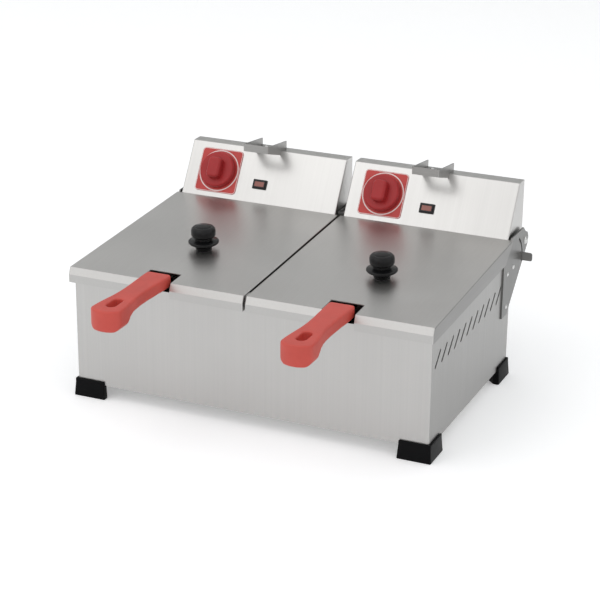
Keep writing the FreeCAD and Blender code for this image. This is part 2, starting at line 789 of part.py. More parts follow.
def make_head_back(side):
    """Rear cover between the hood's sides, with the cable gland's hole."""
    x = span(side, head_in + sheet, head_out - sheet)
    cover = box(x, (head_back - sheet, head_back), (head_low + sheet, head_top - sheet))
    hole = cylinder(V(side * head_x + cable_gland_aside, head_back - overcut, head_low + cable_gland_rise),
                    Y_AXIS, cable_gland_bore + sheet, 2 * overcut)
    nuts = cylinder(V(x[0] - overcut, pivot_y, pivot_z), X_AXIS, pivot_shoulder + sheet,
                    x[1] - x[0] + 2 * overcut)
    return cover.cut(hole).cut(nuts)


def leg_places(side):
    """The two rods' legs, as X positions."""
    return [side * unit_x + sign * rod_spread for sign in (-1, 1)]


def bulb_x(side):
    """The temperature bulb lies between the two right-hand runs."""
    return side * unit_x + bulb_aside


def make_head_base(side):
    """Bottom sheet of a head, bored for the element's legs and the capillary."""
    x = span(side, head_in + sheet, head_out - sheet)
    high = head_low + sheet
    base = side_prism([(panel_inside(head_low), head_low), (panel_inside(high), high),
                       (head_back, high), (head_back, head_low)], x)
    holes = [(leg, rod_radius) for leg in leg_places(side)] + [(bulb_x(side), capillary_radius)]
    for hole, radius in holes:
        start = V(hole, leg_y, head_low - overcut)
        base = base.cut(cylinder(start, Z_AXIS, radius + pin_play, 2 * overcut))
    return base


def make_dial_plate(side):
    """Square plate with round corners under the thermostat knob."""
    plate = rounded_block(dial_size, dial_size, dial_corner, (0, dial_thick))
    plate = plate.cut(cylinder(V(0, 0, -overcut), Z_AXIS, bush_radius, 2 * overcut))
    return at_dial(plate, side)


def make_thermostat(side):
    """Capillary thermostat behind the panel: drum, threaded bush and shaft."""
    back = -sheet - thermostat_depth
    bush = bush_radius - pin_play
    drum = turned([(0, back), (thermostat_radius - thermostat_bevel, back),
                   (thermostat_radius, back + thermostat_bevel), (thermostat_radius, -sheet),
                   (bush, -sheet), (bush, dial_thick), (shaft_radius, dial_thick),
                   (shaft_radius, shaft_reach), (0, shaft_reach)])
    return at_dial(drum, side)


def make_knob(side):
    """Round knob with a raised grip bar across its face."""
    low = dial_thick + knob_float
    face = low + knob_skirt
    skirt = turned([(0, low), (knob_radius, low), (knob_radius, face), (0, face)])
    skirt = skirt.makeFillet(knob_round, edges_where(skirt, lambda p: near(p.z, face)))
    bar = rounded_block(knob_grip_width, knob_grip_length, knob_grip_corner, (low, face + knob_grip_over))
    bar = bar.makeFillet(knob_grip_round, edges_where(bar, lambda p: near(p.z, face + knob_grip_over)))
    bore = cylinder(V(0, 0, 0), Z_AXIS, shaft_radius + pin_play, shaft_reach + seat_gap)
    return at_dial(skirt.fuse(bar).cut(bore).removeSplitter(), side)


def make_lamp_bezel(side):
    """Snap-in frame of the pilot lamp."""
    rim = rounded_block(lamp_width, lamp_height, lamp_lap, (0, lamp_proud))
    rim = rim.makeChamfer(lamp_chamfer, edges_where(rim, lambda p: near(p.z, lamp_proud)))
    neck = rounded_block(lamp_width - 2 * lamp_lap, lamp_height - 2 * lamp_lap, lamp_lap, (-lamp_depth, 0))
    window = rounded_block(lamp_width - 2 * lamp_frame, lamp_height - 2 * lamp_frame, lamp_lap / 2,
                           (-lamp_depth - overcut, lamp_proud + overcut))
    return at_lamp(rim.fuse(neck).cut(window), side)


def make_lamp_lens(side):
    """Domed window of the pilot lamp."""
    inset = lamp_frame + pin_play
    lens = rounded_block(lamp_width - 2 * inset, lamp_height - 2 * inset, lamp_lap / 2,
                         (-lamp_depth, lamp_proud + lens_dome))
    lens = lens.makeFillet(lens_dome, edges_where(lens, lambda p: near(p.z, lamp_proud + lens_dome)))
    return at_lamp(lens, side)


def make_hanger(side):
    """Folded bracket on a head's top: front strip, two flanges and a riveted tab."""
    middle = side * head_x
    half = hanger_width / 2
    front = panel_top - hanger_reach
    low = head_top + hanger_over
    rear = head_back - hanger_rear_in
    grip_z = head_top - hanger_grip
    outline = [(front, low), (front, low + hanger_strip), (rear, head_top + hanger_rear_rise),
               (rear, head_top), (panel_top, head_top), (panel_at(grip_z), grip_z)]
    folds = []
    for x in (-half, half - bracket_sheet):
        folds.append(side_prism(outline, (middle + x, middle + x + bracket_sheet)))
    strip = box((middle - half, middle + half), (front, front + bracket_sheet), (low, low + hanger_strip))
    tab = box((middle - half, middle + half), (panel_top, rear), (head_top, head_top + bracket_sheet))
    bracket = strip.multiFuse(folds + [tab]).removeSplitter()
    corners = edges_where(bracket, lambda p: near(p.y, front) and near(abs(p.x - middle), half))
    bracket = bracket.makeFillet(bracket_sheet * fold_share, corners)
    for place in hanger_rivet_places(side):
        bracket = bracket.cut(cylinder(place - V(0, 0, overcut), Z_AXIS, rivet_radius, 2 * overcut))
    return bracket.removeSplitter()


def hanger_rivet_places(side):
    """Rivets through a hanger's tab."""
    y = (panel_top + head_back - hanger_rear_in) / 2
    return [V(side * head_x + sign * hanger_rivet_side, y, head_top + bracket_sheet) for sign in (-1, 1)]


def make_hanger_rivets(side):
    """Two domed rivets that stop on the head's top."""
    rivets = []
    for place in hanger_rivet_places(side):
        rivet = domed_rivet(bracket_sheet, rivet_radius, rivet_head, rivet_dome)
        rivet.translate(place)
        rivets.append(rivet)
    return Part.makeCompound(rivets)


def make_element(side):
    """Tubular heater: two legs and a serpentine of four runs over the tank floor."""
    middle = side * unit_x
    front = tank_front + rod_front
    back = tank_back - rod_back
    top = head_low + sheet + rod_stub
    half = [V(rod_spread, leg_y, top), V(rod_spread, leg_y, rod_z), V(rod_spread, front, rod_z),
            V(rod_inner, front, rod_z), V(rod_inner, back, rod_z)]
    points = [V(middle - p.x, p.y, p.z) for p in half] + [V(middle + p.x, p.y, p.z) for p in reversed(half)]
    return rod(points, [rod_bend] * (len(points) - 2), rod_radius)


def make_glands(side):
    """Threaded glands that clamp the legs under the head's base."""
    nuts = []
    for leg in leg_places(side):
        ring = [V(gland_radius * math.cos(turn), gland_radius * math.sin(turn), 0)
                for turn in (number * math.pi / 3 for number in range(6))]
        nut = Part.Face(Part.makePolygon(ring + ring[:1])).extrude(V(0, 0, gland_thick))
        nut = nut.cut(cylinder(V(0, 0, -overcut), Z_AXIS, rod_radius + pin_play, gland_thick + 2 * overcut))
        nut.translate(V(leg, leg_y, head_low - gland_thick))
        nuts.append(nut)
    return Part.makeCompound(nuts)


def make_sensor(side):
    """Temperature bulb on its capillary, which rises into the head's base."""
    x = bulb_x(side)
    back = tank_back - rod_back
    top = head_low + sheet + rod_stub
    route = [V(x, back, rod_z), V(x, leg_y, rod_z), V(x, leg_y, top)]
    capillary = rod(route, [capillary_bend], capillary_radius)
    outline = [(0, 0), (capillary_radius, 0), (bulb_radius, bulb_radius),
               (bulb_radius, bulb_length - bulb_radius)]
    bulb = turned_with_dome(outline, bulb_length)
    bulb.rotate(V(0, 0, 0), X_AXIS, 90)
    bulb.translate(V(x, back + bulb_radius, rod_z))
    return bulb.fuse(capillary).removeSplitter()


def make_cable_gland(side):
    """Plastic cord inlet on the head's rear cover."""
    neck = cable_gland_bore + sheet - pin_play
    gland = turned([(cable_gland_bore, -2 * sheet), (neck, -2 * sheet), (neck, 0), (cable_gland_radius, 0),
                    (cable_gland_radius, cable_gland_flange), (cable_gland_tip, cable_gland_reach),
                    (cable_gland_bore, cable_gland_reach)])
    gland.rotate(V(0, 0, 0), X_AXIS, -90)
    gland.translate(V(side * head_x + cable_gland_aside, head_back, head_low + cable_gland_rise))
    return gland


# Baskets

def perforated(width, height, across, along):
    """Flat panel with a grid of square gaps, centred on the origin in the XY plane."""
    panel = box((-width / 2, width / 2), (-height / 2, height / 2), (0, mesh_thick))
    step_x = (width - 2 * mesh_border + mesh_bar) / across
    step_y = (height - 2 * mesh_border + mesh_bar) / along
    gaps = []
    for column in range(across):
        for row in range(along):
            left = mesh_border - width / 2 + column * step_x
            low = mesh_border - height / 2 + row * step_y
            gap = box((left, left + step_x - mesh_bar), (low, low + step_y - mesh_bar), (-overcut, overcut))
            gaps.append(gap)
    return panel.cut(Part.makeCompound(gaps))


def make_basket_mesh(side):
    """Five perforated walls of a basket, each a flat panel."""
    depth = mesh_rear - mesh_front
    wall = basket_height - mesh_thick
    middle = (mesh_front + mesh_rear) / 2
    high = mesh_floor + mesh_thick + wall / 2
    floor = perforated(basket_width, depth, mesh_counts["wide"], mesh_counts["long"])
    floor.translate(V(0, middle, mesh_floor))
    panels = [floor]
    for y in (mesh_front, mesh_rear - mesh_thick):
        end = perforated(basket_width, wall, mesh_counts["wide"], mesh_counts["tall"])
        end.rotate(V(0, 0, 0), X_AXIS, 90)
        end.translate(V(0, y + mesh_thick, high))
        panels.append(end)
    for x in (-basket_width / 2, basket_width / 2 - mesh_thick):
        flank = perforated(depth - 2 * mesh_thick, wall, mesh_counts["long"], mesh_counts["tall"])
        flank.rotate(V(0, 0, 0), X_AXIS, 90)
        flank.rotate(V(0, 0, 0), Z_AXIS, 90)
        flank.translate(V(x, middle, high))
        panels.append(flank)
    walls = Part.makeCompound(panels)
    walls.translate(V(side * unit_x, 0, 0))
    return walls


def rim_loop():
    """Wire ring along the top edges of a basket's walls."""
    path = rounded_outline(basket_width - mesh_thick, mesh_rear - mesh_front - mesh_thick, rim_corner)
    path.translate(V(0, (mesh_front + mesh_rear) / 2, basket_rim))
    first = path.Edges[0]
    heading = first.tangentAt(first.FirstParameter)
    section = Part.Wire(Part.makeCircle(rim_radius, first.valueAt(first.FirstParameter), heading))
    return path.makePipeShell([section], True, False)


def make_basket_frame(side):
    """Rim ring, two stays under the floor and two rear hooks, in welded wire."""
    reach = stay_radius + wire_gap
    high = basket_rim
    front = mesh_front - reach
    rear = mesh_rear + reach
    pieces = []
    for x in (-stay_aside, stay_aside):
        points = [V(x, front, high), V(x, front, stay_low), V(x, rear, stay_low), V(x, rear, high)]
        pieces.append(rod(points, [stay_radius + 2 * wire_gap] * 2, stay_radius))
    for x in (-hook_aside, hook_aside):
        crown = high + hook_rise + hook_bend
        tail = rear + 2 * hook_bend
        points = [V(x, rear, high), V(x, rear, crown), V(x, tail, crown), V(x, tail, crown - hook_tail)]
        pieces.append(rod(points, [hook_bend] * 2, stay_radius))
    frame = rim_loop().multiFuse(pieces)
    frame.translate(V(side * unit_x, 0, 0))
    return frame


def tang_outline():
    """Bent tang that joins the basket's rim to the grip, as (y, z) points."""
    end = grip_back - tang_in_grip
    low = tang_top - tang_thick
    foot = tang_top - tang_leg
    front = tang_rear - tang_thick
    return [(end, tang_top), (end, low), (front, low), (front, foot),
            (tang_rear, foot), (tang_rear, tang_top)]


def make_tang(side):
    """Steel tang of a basket handle, folded down in front of the basket's rim."""
    tang = side_prism(tang_outline(), (-tang_width / 2, tang_width / 2))
    fold = edges_where(tang, lambda p: near(p.z, tang_top) and near(p.y, tang_rear))
    tang = tang.makeFillet(tang_thick, fold)
    tang.translate(V(side * unit_x, 0, 0))
    return tang


def grip_from_above(top):
    """Block with the grip's outline from above: straight rear, waist and bowed tip, edges rounded."""
    tip_y = grip_bow - grip_reach
    ahead = V(0, -1, 0)
    points = [V(grip_width / 2, grip_back, 0), V(grip_waist / 2, grip_waist_in - grip_reach, 0),
              V(grip_tip_width / 2, tip_y, 0)]
    curve = Part.BSplineCurve()
    curve.interpolate(Points=points, InitialTangent=ahead, FinalTangent=ahead)
    flank = curve.toShape()
    bow = Part.Arc(points[-1], V(0, -grip_reach, 0), V(-grip_tip_width / 2, tip_y, 0)).toShape()
    rear = Part.makeLine(V(-grip_width / 2, grip_back, 0), points[0])
    outline = Part.Wire([rear, flank, bow, flank.mirror(V(0, 0, 0), X_AXIS)])
    outline.translate(V(0, 0, top - grip_tip_height))
    block = Part.Face(outline).extrude(V(0, 0, grip_tip_height))
    for radius, place in ((grip_rear_round, grip_back), (grip_tip_round, tip_y)):
        corners = edges_where(block, lambda p: near(p.y, place) and not near(p.x, 0))
        block = block.makeFillet(radius, corners)
    return block.makeFillet(grip_edge, edges_where(block, lambda p: near(p.z, top)))


def grip_from_side(top):
    """Block with the grip's outline from the side: level bar that curves down to a deep tip."""
    bar_low = top - grip_height
    tip_low = top - grip_tip_height
    end = -grip_reach - overcut
    rear = grip_back + overcut
    bend_y = grip_tip_run - grip_reach
    bend = [V(0, bend_y, tip_low), V(0, bend_y + grip_bend_run, bar_low)]
    curve = Part.BSplineCurve()
    curve.interpolate(Points=bend, InitialTangent=Y_AXIS, FinalTangent=Y_AXIS)
    corners = [bend[1], V(0, rear, bar_low), V(0, rear, top + overcut), V(0, end, top + overcut),
               V(0, end, tip_low), bend[0]]
    edges = [Part.makeLine(first, second) for first, second in zip(corners, corners[1:])]
    block = Part.Face(Part.Wire(edges + [curve.toShape()])).extrude(V(grip_tip_width, 0, 0))
    block.translate(V(-grip_tip_width / 2, 0, 0))
    return block


def make_grip(side):
    """Moulded grip: flat-topped bar whose tip drops and widens, with a hanging hole."""
    top = wall_rise + grip_over
    front = rounded_block(grip_tip_width, 2 * grip_tip_height, grip_low_round, (0, 2 * grip_reach))
    front.rotate(V(0, 0, 0), X_AXIS, 90)
    front.translate(V(0, grip_reach, top))
    grip = grip_from_above(top).common(grip_from_side(top)).common(front)
    hole = stadium(grip_hole_length, grip_hole_width, 2 * grip_tip_height)
    hole.rotate(V(0, 0, 0), Z_AXIS, 90)
    hole.translate(V(0, grip_hole_in - grip_reach, top - 2 * grip_tip_height + overcut))
    slot = side_prism(tang_outline(), (-tang_width / 2, tang_width / 2))
    grip = grip.cut(hole).cut(slot)
    grip.translate(V(side * unit_x, 0, 0))
    return grip


# Lids

def make_lid(side):
    """Inverted tray with skirts on three sides, a front facet and a handle notch."""
    x = span(side, lid_gap / 2, lid_outer)
    front = -lid_front_reach
    brow = front + lid_facet_run
    peak = lid_top(brow)
    band_low = peak - lid_facet_drop
    outline = [(front, lid_top(front) - lid_skirt), (front, band_low), (brow, peak),
               (lid_rear, lid_top(lid_rear)), (lid_rear, lid_top(lid_rear) - lid_rear_lip),
               (plate_front_y, lid_top(plate_front_y) - lid_skirt_rear)]
    outer = side_prism(outline, x)

    def on_fold(p):
        on_flank = near(p.x, x[0]) or near(p.x, x[1])
        return on_flank and (near(p.z, lid_top(p.y)) or p.y < brow or near(p.y, brow))

    outer = outer.makeFillet(lid_bend, edges_where(outer, on_fold))
    under = lid_top(front) - lid_skirt - overcut
    back = lid_rear + overcut
    hollow = side_prism([(front + sheet, under), (front + sheet, band_low), (brow + sheet, peak - sheet),
                         (back, lid_top(back) - sheet), (back, under)], (x[0] + sheet, x[1] - sheet))
    notch = box((side * unit_x - notch_width / 2, side * unit_x + notch_width / 2),
                (front - overcut, notch_back), (under, lid_top(notch_back) + overcut))
    screw = cylinder(lid_knob_seat(side) - V(0, 0, overcut), Z_AXIS, lid_screw_radius, 2 * overcut)
    relief = box(span(side, 0, lid_gap / 2 + 2 * sheet),
                 (-2 * sheet, sheet + lip_width + lid_relief), (under, wall_rise + seat_gap / 2))
    return outer.cut(hollow).cut(notch).cut(screw).cut(relief)


def lid_knob_seat(side):
    """Where a lid's knob stands."""
    return V(side * unit_x + lid_knob_aside, lid_knob_back, lid_top(lid_knob_back))


def make_lid_knob(side):
    """Turned knob: tapered foot, finger disc, neck and domed cap, on a screw through the lid."""
    screw = lid_screw_radius - pin_play
    disc_top = lid_knob_disc_rise + lid_knob_disc_thick
    profile = [(0, -2 * sheet), (screw, -2 * sheet), (screw, 0), (lid_knob_base, 0),
               (lid_knob_waist, lid_knob_disc_rise), (lid_knob_disc, lid_knob_disc_rise),
               (lid_knob_disc, disc_top), (lid_knob_neck, disc_top), (lid_knob_neck, lid_knob_neck_rise),
               (lid_knob_cap, lid_knob_cap_rise)]
    knob = turned_with_dome(profile, lid_knob_height)
    disc = edges_where(knob, lambda p: near(math.hypot(p.x, p.y), lid_knob_disc))
    knob = knob.makeFillet(lid_knob_round, disc)
    cap = edges_where(knob, lambda p: near(math.hypot(p.x, p.y), lid_knob_cap) and p.z > disc_top)
    knob = knob.makeFillet(lid_knob_shoulder, cap)
    knob.rotate(V(0, 0, 0), X_AXIS, lid_slope)
    knob.translate(lid_knob_seat(side))
    return knob


# All the pieces by name

pieces = {
    "body_shell": make_body_shell(),
    "back_panel": make_back_panel(),
    "base_plate": make_base_plate(),
    "tank_deck": make_deck(),
    "foot_screws": make_foot_screws(),
    "hinge_bracket_center": make_centre_bracket(),
    "pivot_screws": make_pivot_screws(),
    "plate_rivets": side_rivets(plate_screw_places(), plate_sheet + sheet, rivet_radius, rivet_head),
    "latch_pins": side_rivets([(latch_y, latch_z)], plate_sheet + seat_gap + bracket_sheet,
                              latch_pin_radius, latch_pin_head),
}
paired = {
    "tank": make_tank,
    "hinge_plate": make_hinge_plate,
    "latch_lever": make_latch_lever,
    "head_shell": make_head_shell,
    "head_back": make_head_back,
    "head_base": make_head_base,
    "dial_plate": make_dial_plate,
    "thermostat": make_thermostat,
    "thermostat_knob": make_knob,
    "pilot_bezel": make_lamp_bezel,
    "pilot_lens": make_lamp_lens,
    "hanger_bracket": make_hanger,
    "hanger_rivets": make_hanger_rivets,
    "heating_element": make_element,
    "element_glands": make_glands,
    "sensor_bulb": make_sensor,
    "cable_gland": make_cable_gland,
    "basket_mesh": make_basket_mesh,
    "basket_frame": make_basket_frame,
    "handle_tang": make_tang,
    "handle_grip": make_grip,
    "lid_panel": make_lid,
    "lid_knob": make_lid_knob,
}
for name, side in SIDES.items():
    pieces["foot_front_" + name] = make_foot(side, False)
    pieces["foot_rear_" + name] = make_foot(side, True)
    for piece, make in paired.items():
        pieces[piece + "_" + name] = make(side)

# Move to the standing frame and write one file per piece
standing = V(0, (grip_reach - rear_end) / 2, foot_drop)
os.makedirs("parts", exist_ok=True)
for name, shape in pieces.items():
    shape.translate(standing)
    shape.exportStep(os.path.join("parts", name + ".step"))
print(len(pieces), "pieces")
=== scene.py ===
# %% [markdown]
# # A twin-tank countertop fryer
# The real object is folded stainless sheet: one casing with two oil pans, two lids, and two control
# heads that tilt back at the rear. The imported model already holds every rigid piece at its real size,
# so this lesson dresses it. It builds a small studio, writes the finishes as node materials, and then
# models what the solids leave plain: woven baskets, printed dials, lamp lips, turned knobs, moulded
# feet, and handles with soft edges.

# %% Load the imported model
import bpy
import bmesh
import json
import math
from mathutils import Matrix, Vector


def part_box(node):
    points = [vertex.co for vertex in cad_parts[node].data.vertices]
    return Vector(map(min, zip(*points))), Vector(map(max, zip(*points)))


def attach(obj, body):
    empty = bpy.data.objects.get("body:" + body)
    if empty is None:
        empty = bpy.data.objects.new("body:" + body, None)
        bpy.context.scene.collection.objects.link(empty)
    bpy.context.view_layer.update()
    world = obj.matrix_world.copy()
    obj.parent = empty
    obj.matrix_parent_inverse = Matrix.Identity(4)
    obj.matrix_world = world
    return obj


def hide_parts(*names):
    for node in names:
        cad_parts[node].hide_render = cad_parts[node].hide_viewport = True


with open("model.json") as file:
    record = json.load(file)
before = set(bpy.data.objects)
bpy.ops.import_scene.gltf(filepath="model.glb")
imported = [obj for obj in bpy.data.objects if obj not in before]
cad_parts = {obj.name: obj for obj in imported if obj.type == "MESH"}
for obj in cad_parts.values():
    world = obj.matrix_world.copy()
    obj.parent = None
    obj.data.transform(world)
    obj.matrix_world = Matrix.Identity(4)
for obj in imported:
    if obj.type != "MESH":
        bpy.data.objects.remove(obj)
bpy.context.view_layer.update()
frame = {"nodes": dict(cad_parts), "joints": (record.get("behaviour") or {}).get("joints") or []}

SIDES = ("left", "right")
MM = 0.001
joints = {joint["name"]: joint for joint in frame["joints"]}

# %% [markdown]
# ## Camera
# A product photo is taken from far away with a long lens, so that upright edges stay nearly parallel.
# A lens of 110 mm about two and a half metres away gives that look. The two angles below are the
# viewing angles of the picture, and a small roll levels the horizon the way the picture has it.

# %% Camera at the picture's viewing angle
view_turn = math.radians(23.71)
view_rise = math.radians(21.15)
view_roll = math.radians(0.52)
view_place = Vector((0.92934, -2.06610, 1.01224))
lens_mm = 110.09
sensor_mm = 36.0

camera_data = bpy.data.cameras.new("camera")
camera_data.lens = lens_mm
camera_data.sensor_width = sensor_mm
camera = bpy.data.objects.new("camera", camera_data)
aim = Matrix.Rotation(view_turn, 4, "Z") @ Matrix.Rotation(math.pi / 2 - view_rise, 4, "X")
camera.matrix_world = Matrix.Translation(view_place) @ aim @ Matrix.Rotation(view_roll, 4, "Z")
bpy.context.scene.collection.objects.link(camera)
bpy.context.scene.camera = camera
print("camera", [round(value, 3) for value in camera.location])

# %% [markdown]
# ## Studio
# Steel has almost no colour of its own: it shows what stands around it. So the room is designed first.
# A pale floor runs under the object and keeps its soft shadow. A pale grey wall far behind is what the
# level lids look into, which is why they read darker than the front. Both are single planes, because
# brushed steel mirrors too softly to show more. The floor is lifted to white only where it is looked
# at or mirrored, so that it doesn't glow on the matt pieces. The wall keeps its own grey.

# %% Room finish
WHITE = (1, 1, 1, 1)
room_roughness = 0.9
room_gloss = 0.1


def seen_or_mirrored(tree):
    """1 for rays that show the room: from the camera, off gloss or through glass."""
    path = tree.nodes.new("ShaderNodeLightPath")
    value = path.outputs["Is Camera Ray"]
    for ray in ("Is Glossy Ray", "Is Transmission Ray"):
        either = tree.nodes.new("ShaderNodeMath")
        either.operation = "MAXIMUM"
        tree.links.new(value, either.inputs[0])
        tree.links.new(path.outputs[ray], either.inputs[1])
        value = either.outputs[0]
    return value


def plain_stage(name, colour, lift):
    """Matt surface for the room, lifted a little where it is looked at."""
    material = bpy.data.materials.new(name)
    material.use_nodes = True
    tree = material.node_tree
    shader = tree.nodes["Principled BSDF"]
    shader.inputs["Base Color"].default_value = (*colour, 1)
    shader.inputs["Roughness"].default_value = room_roughness
    shader.inputs["Specular IOR Level"].default_value = room_gloss
    shader.inputs["Emission Color"].default_value = WHITE
    lifted = tree.nodes.new("ShaderNodeMath")
    lifted.operation = "MULTIPLY"
    lifted.inputs[1].default_value = lift
    tree.links.new(seen_or_mirrored(tree), lifted.inputs[0])
    tree.links.new(lifted.outputs[0], shader.inputs["Emission Strength"])
    return material


print("room helpers: seen_or_mirrored, plain_stage")

# %% Floor and wall
floor_half = 9.0
floor_tone = (0.93, 0.93, 0.93)
floor_lift = 0.26
wall_back = 3.3
wall_height = 3.0
wall_tone = (0.64, 0.64, 0.63)
wall_lift = 0.0

bpy.ops.object.select_all(action="DESELECT")
bpy.ops.mesh.primitive_plane_add(size=2 * floor_half, location=(0, 0, 0))
floor = bpy.context.object
floor.name = "floor"
floor.data.materials.append(plain_stage("pale_floor", floor_tone, floor_lift))
wall_middle = (0, wall_back, wall_height / 2)
bpy.ops.mesh.primitive_plane_add(size=1, location=wall_middle, rotation=(math.pi / 2, 0, 0))
wall = bpy.context.object
wall.name = "wall"
wall.scale = (2 * floor_half, wall_height, 1)
wall.data.materials.append(plain_stage("grey_wall", wall_tone, wall_lift))
print("room", floor.name, wall.name)

# %% [markdown]
# ## Light
# Point lamps would leave hard spots on steel, so all three lamps are wide soft rectangles. The largest,
# high in front, is what the leaning panels look into, which is why they read almost white. One overhead
# gives the lids' front edges and the knobs their sheen, and a weak one at the side fills the right.

# %% Soft lamps
lamp_target = (0, 0.05, 0.15)
LAMPS = {
    "panel_lamp": {"place": (-0.95, -2.1, 1.75), "size": (2.6, 1.7), "watts": 5.0},
    "side_lamp": {"place": (2.4, 0.4, 1.9), "size": (1.6, 1.6), "watts": 2.0},
    "top_lamp": {"place": (-0.80, -0.72, 1.95), "size": (1.4, 1.2), "watts": 4.5},
}


def soft_lamp(name, place, size, watts):
    """Rectangular softbox aimed at the object."""
    data = bpy.data.lights.new(name, "AREA")
    data.shape = "RECTANGLE"
    data.size, data.size_y = size
    data.energy = watts
    lamp = bpy.data.objects.new(name, data)
    lamp.location = place
    lamp.rotation_euler = (Vector(lamp_target) - Vector(place)).to_track_quat("-Z", "Y").to_euler()
    bpy.context.scene.collection.objects.link(lamp)


for name, setting in LAMPS.items():
    soft_lamp(name, **setting)
print("lamps", [light.name for light in bpy.data.lights])

# %% [markdown]
# The sky lights the object evenly from all sides, with a cool tint. Looked at or mirrored, it is plain
# white. One background could not be both, so a Mix Shader picks between two by the kind of ray.

# %% Sky
sky_strength = 0.88
sky_tint = (0.97, 0.985, 1.0, 1)

world = bpy.data.worlds.new("studio")
world.use_nodes = True
bpy.context.scene.world = world
sky_nodes = world.node_tree.nodes
sky_links = world.node_tree.links
sky = sky_nodes["Background"]
sky.inputs["Color"].default_value = sky_tint
sky.inputs["Strength"].default_value = sky_strength
seen = sky_nodes.new("ShaderNodeBackground")
seen.inputs["Color"].default_value = WHITE
choose = sky_nodes.new("ShaderNodeMixShader")
sky_links.new(seen_or_mirrored(world.node_tree), choose.inputs["Fac"])
sky_links.new(sky.outputs[0], choose.inputs[1])
sky_links.new(seen.outputs[0], choose.inputs[2])
sky_links.new(choose.outputs[0], sky_nodes["World Output"].inputs["Surface"])
bpy.context.scene.view_settings.view_transform = "Standard"
print("sky at", sky_strength)

# %% [markdown]
# ## Finishes
# Every finish starts from the same small set of nodes: object coordinates, a stretch, one or two
# noises, and the shader. Image textures could do it too, but a noise on object coordinates has no
# seams and keeps its real size on every piece. These first helpers make the shader and the noise.

# %% Shader and noise
noise_roughness = 0.6


def blank_finish(name, colour, roughness, metallic=0.0):
    """New material with its shader's plain values set."""
    material = bpy.data.materials.new(name)
    material.use_nodes = True
    shader = material.node_tree.nodes["Principled BSDF"]
    shader.inputs["Base Color"].default_value = (*colour, 1)
    shader.inputs["Roughness"].default_value = roughness
    shader.inputs["Metallic"].default_value = metallic
    return material


def noise_on(material, stretch, detail):
    """Noise over object coordinates, with its own stretch per axis."""
    nodes, links = material.node_tree.nodes, material.node_tree.links
    place = nodes.new("ShaderNodeTexCoord")
    mapping = nodes.new("ShaderNodeMapping")
    mapping.inputs["Scale"].default_value = stretch
    noise = nodes.new("ShaderNodeTexNoise")
    noise.inputs["Scale"].default_value = 1.0
    noise.inputs["Detail"].default_value = detail
    noise.inputs["Roughness"].default_value = noise_roughness
    links.new(place.outputs["Object"], mapping.inputs["Vector"])
    links.new(mapping.outputs["Vector"], noise.inputs["Vector"])
    return noise.outputs["Fac"]


print("noise helpers: blank_finish, noise_on")

# %% [markdown]
# A noise hovers round one half and seldom leaves the range from 0.3 to 0.7. Map Range carries that
# stretch to the range that a socket needs, and a Mix node turns it into a tone between two colours.

# %% Tones from noise
noise_low = 0.3
noise_high = 0.7


def spread(material, value, low=0.0, high=1.0):
    """Carry a noise value to a range of its own."""
    nodes, links = material.node_tree.nodes, material.node_tree.links
    ranged = nodes.new("ShaderNodeMapRange")
    ranged.inputs["From Min"].default_value = noise_low
    ranged.inputs["From Max"].default_value = noise_high
    ranged.inputs["To Min"].default_value = low
    ranged.inputs["To Max"].default_value = high
    links.new(value, ranged.inputs["Value"])
    return ranged.outputs["Result"]


def tint(material, value, dark, light):
    """Base colour that moves between two close tones."""
    nodes, links = material.node_tree.nodes, material.node_tree.links
    mix = nodes.new("ShaderNodeMix")
    mix.data_type = "RGBA"
    mix.inputs["A"].default_value = (*dark, 1)
    mix.inputs["B"].default_value = (*light, 1)
    links.new(value, mix.inputs["Factor"])
    links.new(mix.outputs["Result"], nodes["Principled BSDF"].inputs["Base Color"])


def blended(material, first, second):
    """Even mix of two noise values."""
    nodes, links = material.node_tree.nodes, material.node_tree.links
    mix = nodes.new("ShaderNodeMix")
    mix.inputs["Factor"].default_value = 0.5
    links.new(first, mix.inputs["A"])
    links.new(second, mix.inputs["B"])
    return mix.outputs["Result"]


def scaled(colour, share):
    """A colour made lighter or darker."""
    return tuple(min(1.0, part * share) for part in colour)


print("tone helpers: spread, tint, blended, scaled")

# %% [markdown]
# Relief comes from Bump nodes. A fine one roughens the skin. Thin sheet also has slow waves from
# folding and handling, which bend what it mirrors, so a second Bump feeds the normal of the first.

# %% Relief from noise
wave_detail = 1.0


def bump(material, value, depth_mm, strength):
    """Fine relief from a noise value."""
    nodes, links = material.node_tree.nodes, material.node_tree.links
    relief = nodes.new("ShaderNodeBump")
    relief.inputs["Strength"].default_value = strength
    relief.inputs["Distance"].default_value = depth_mm * MM
    links.new(value, relief.inputs["Height"])
    links.new(relief.outputs["Normal"], nodes["Principled BSDF"].inputs["Normal"])


def waves(material, depth_mm, per_metre):
    """Slow unevenness of a thin sheet, under the finer relief."""
    nodes, links = material.node_tree.nodes, material.node_tree.links
    slow = noise_on(material, (per_metre,) * 3, wave_detail)
    relief = nodes.new("ShaderNodeBump")
    relief.inputs["Strength"].default_value = 1.0
    relief.inputs["Distance"].default_value = depth_mm * MM
    fine = nodes["Principled BSDF"].inputs["Normal"].links[0].from_node
    links.new(slow, relief.inputs["Height"])
    links.new(relief.outputs["Normal"], fine.inputs["Normal"])


print("relief helpers: bump, waves")
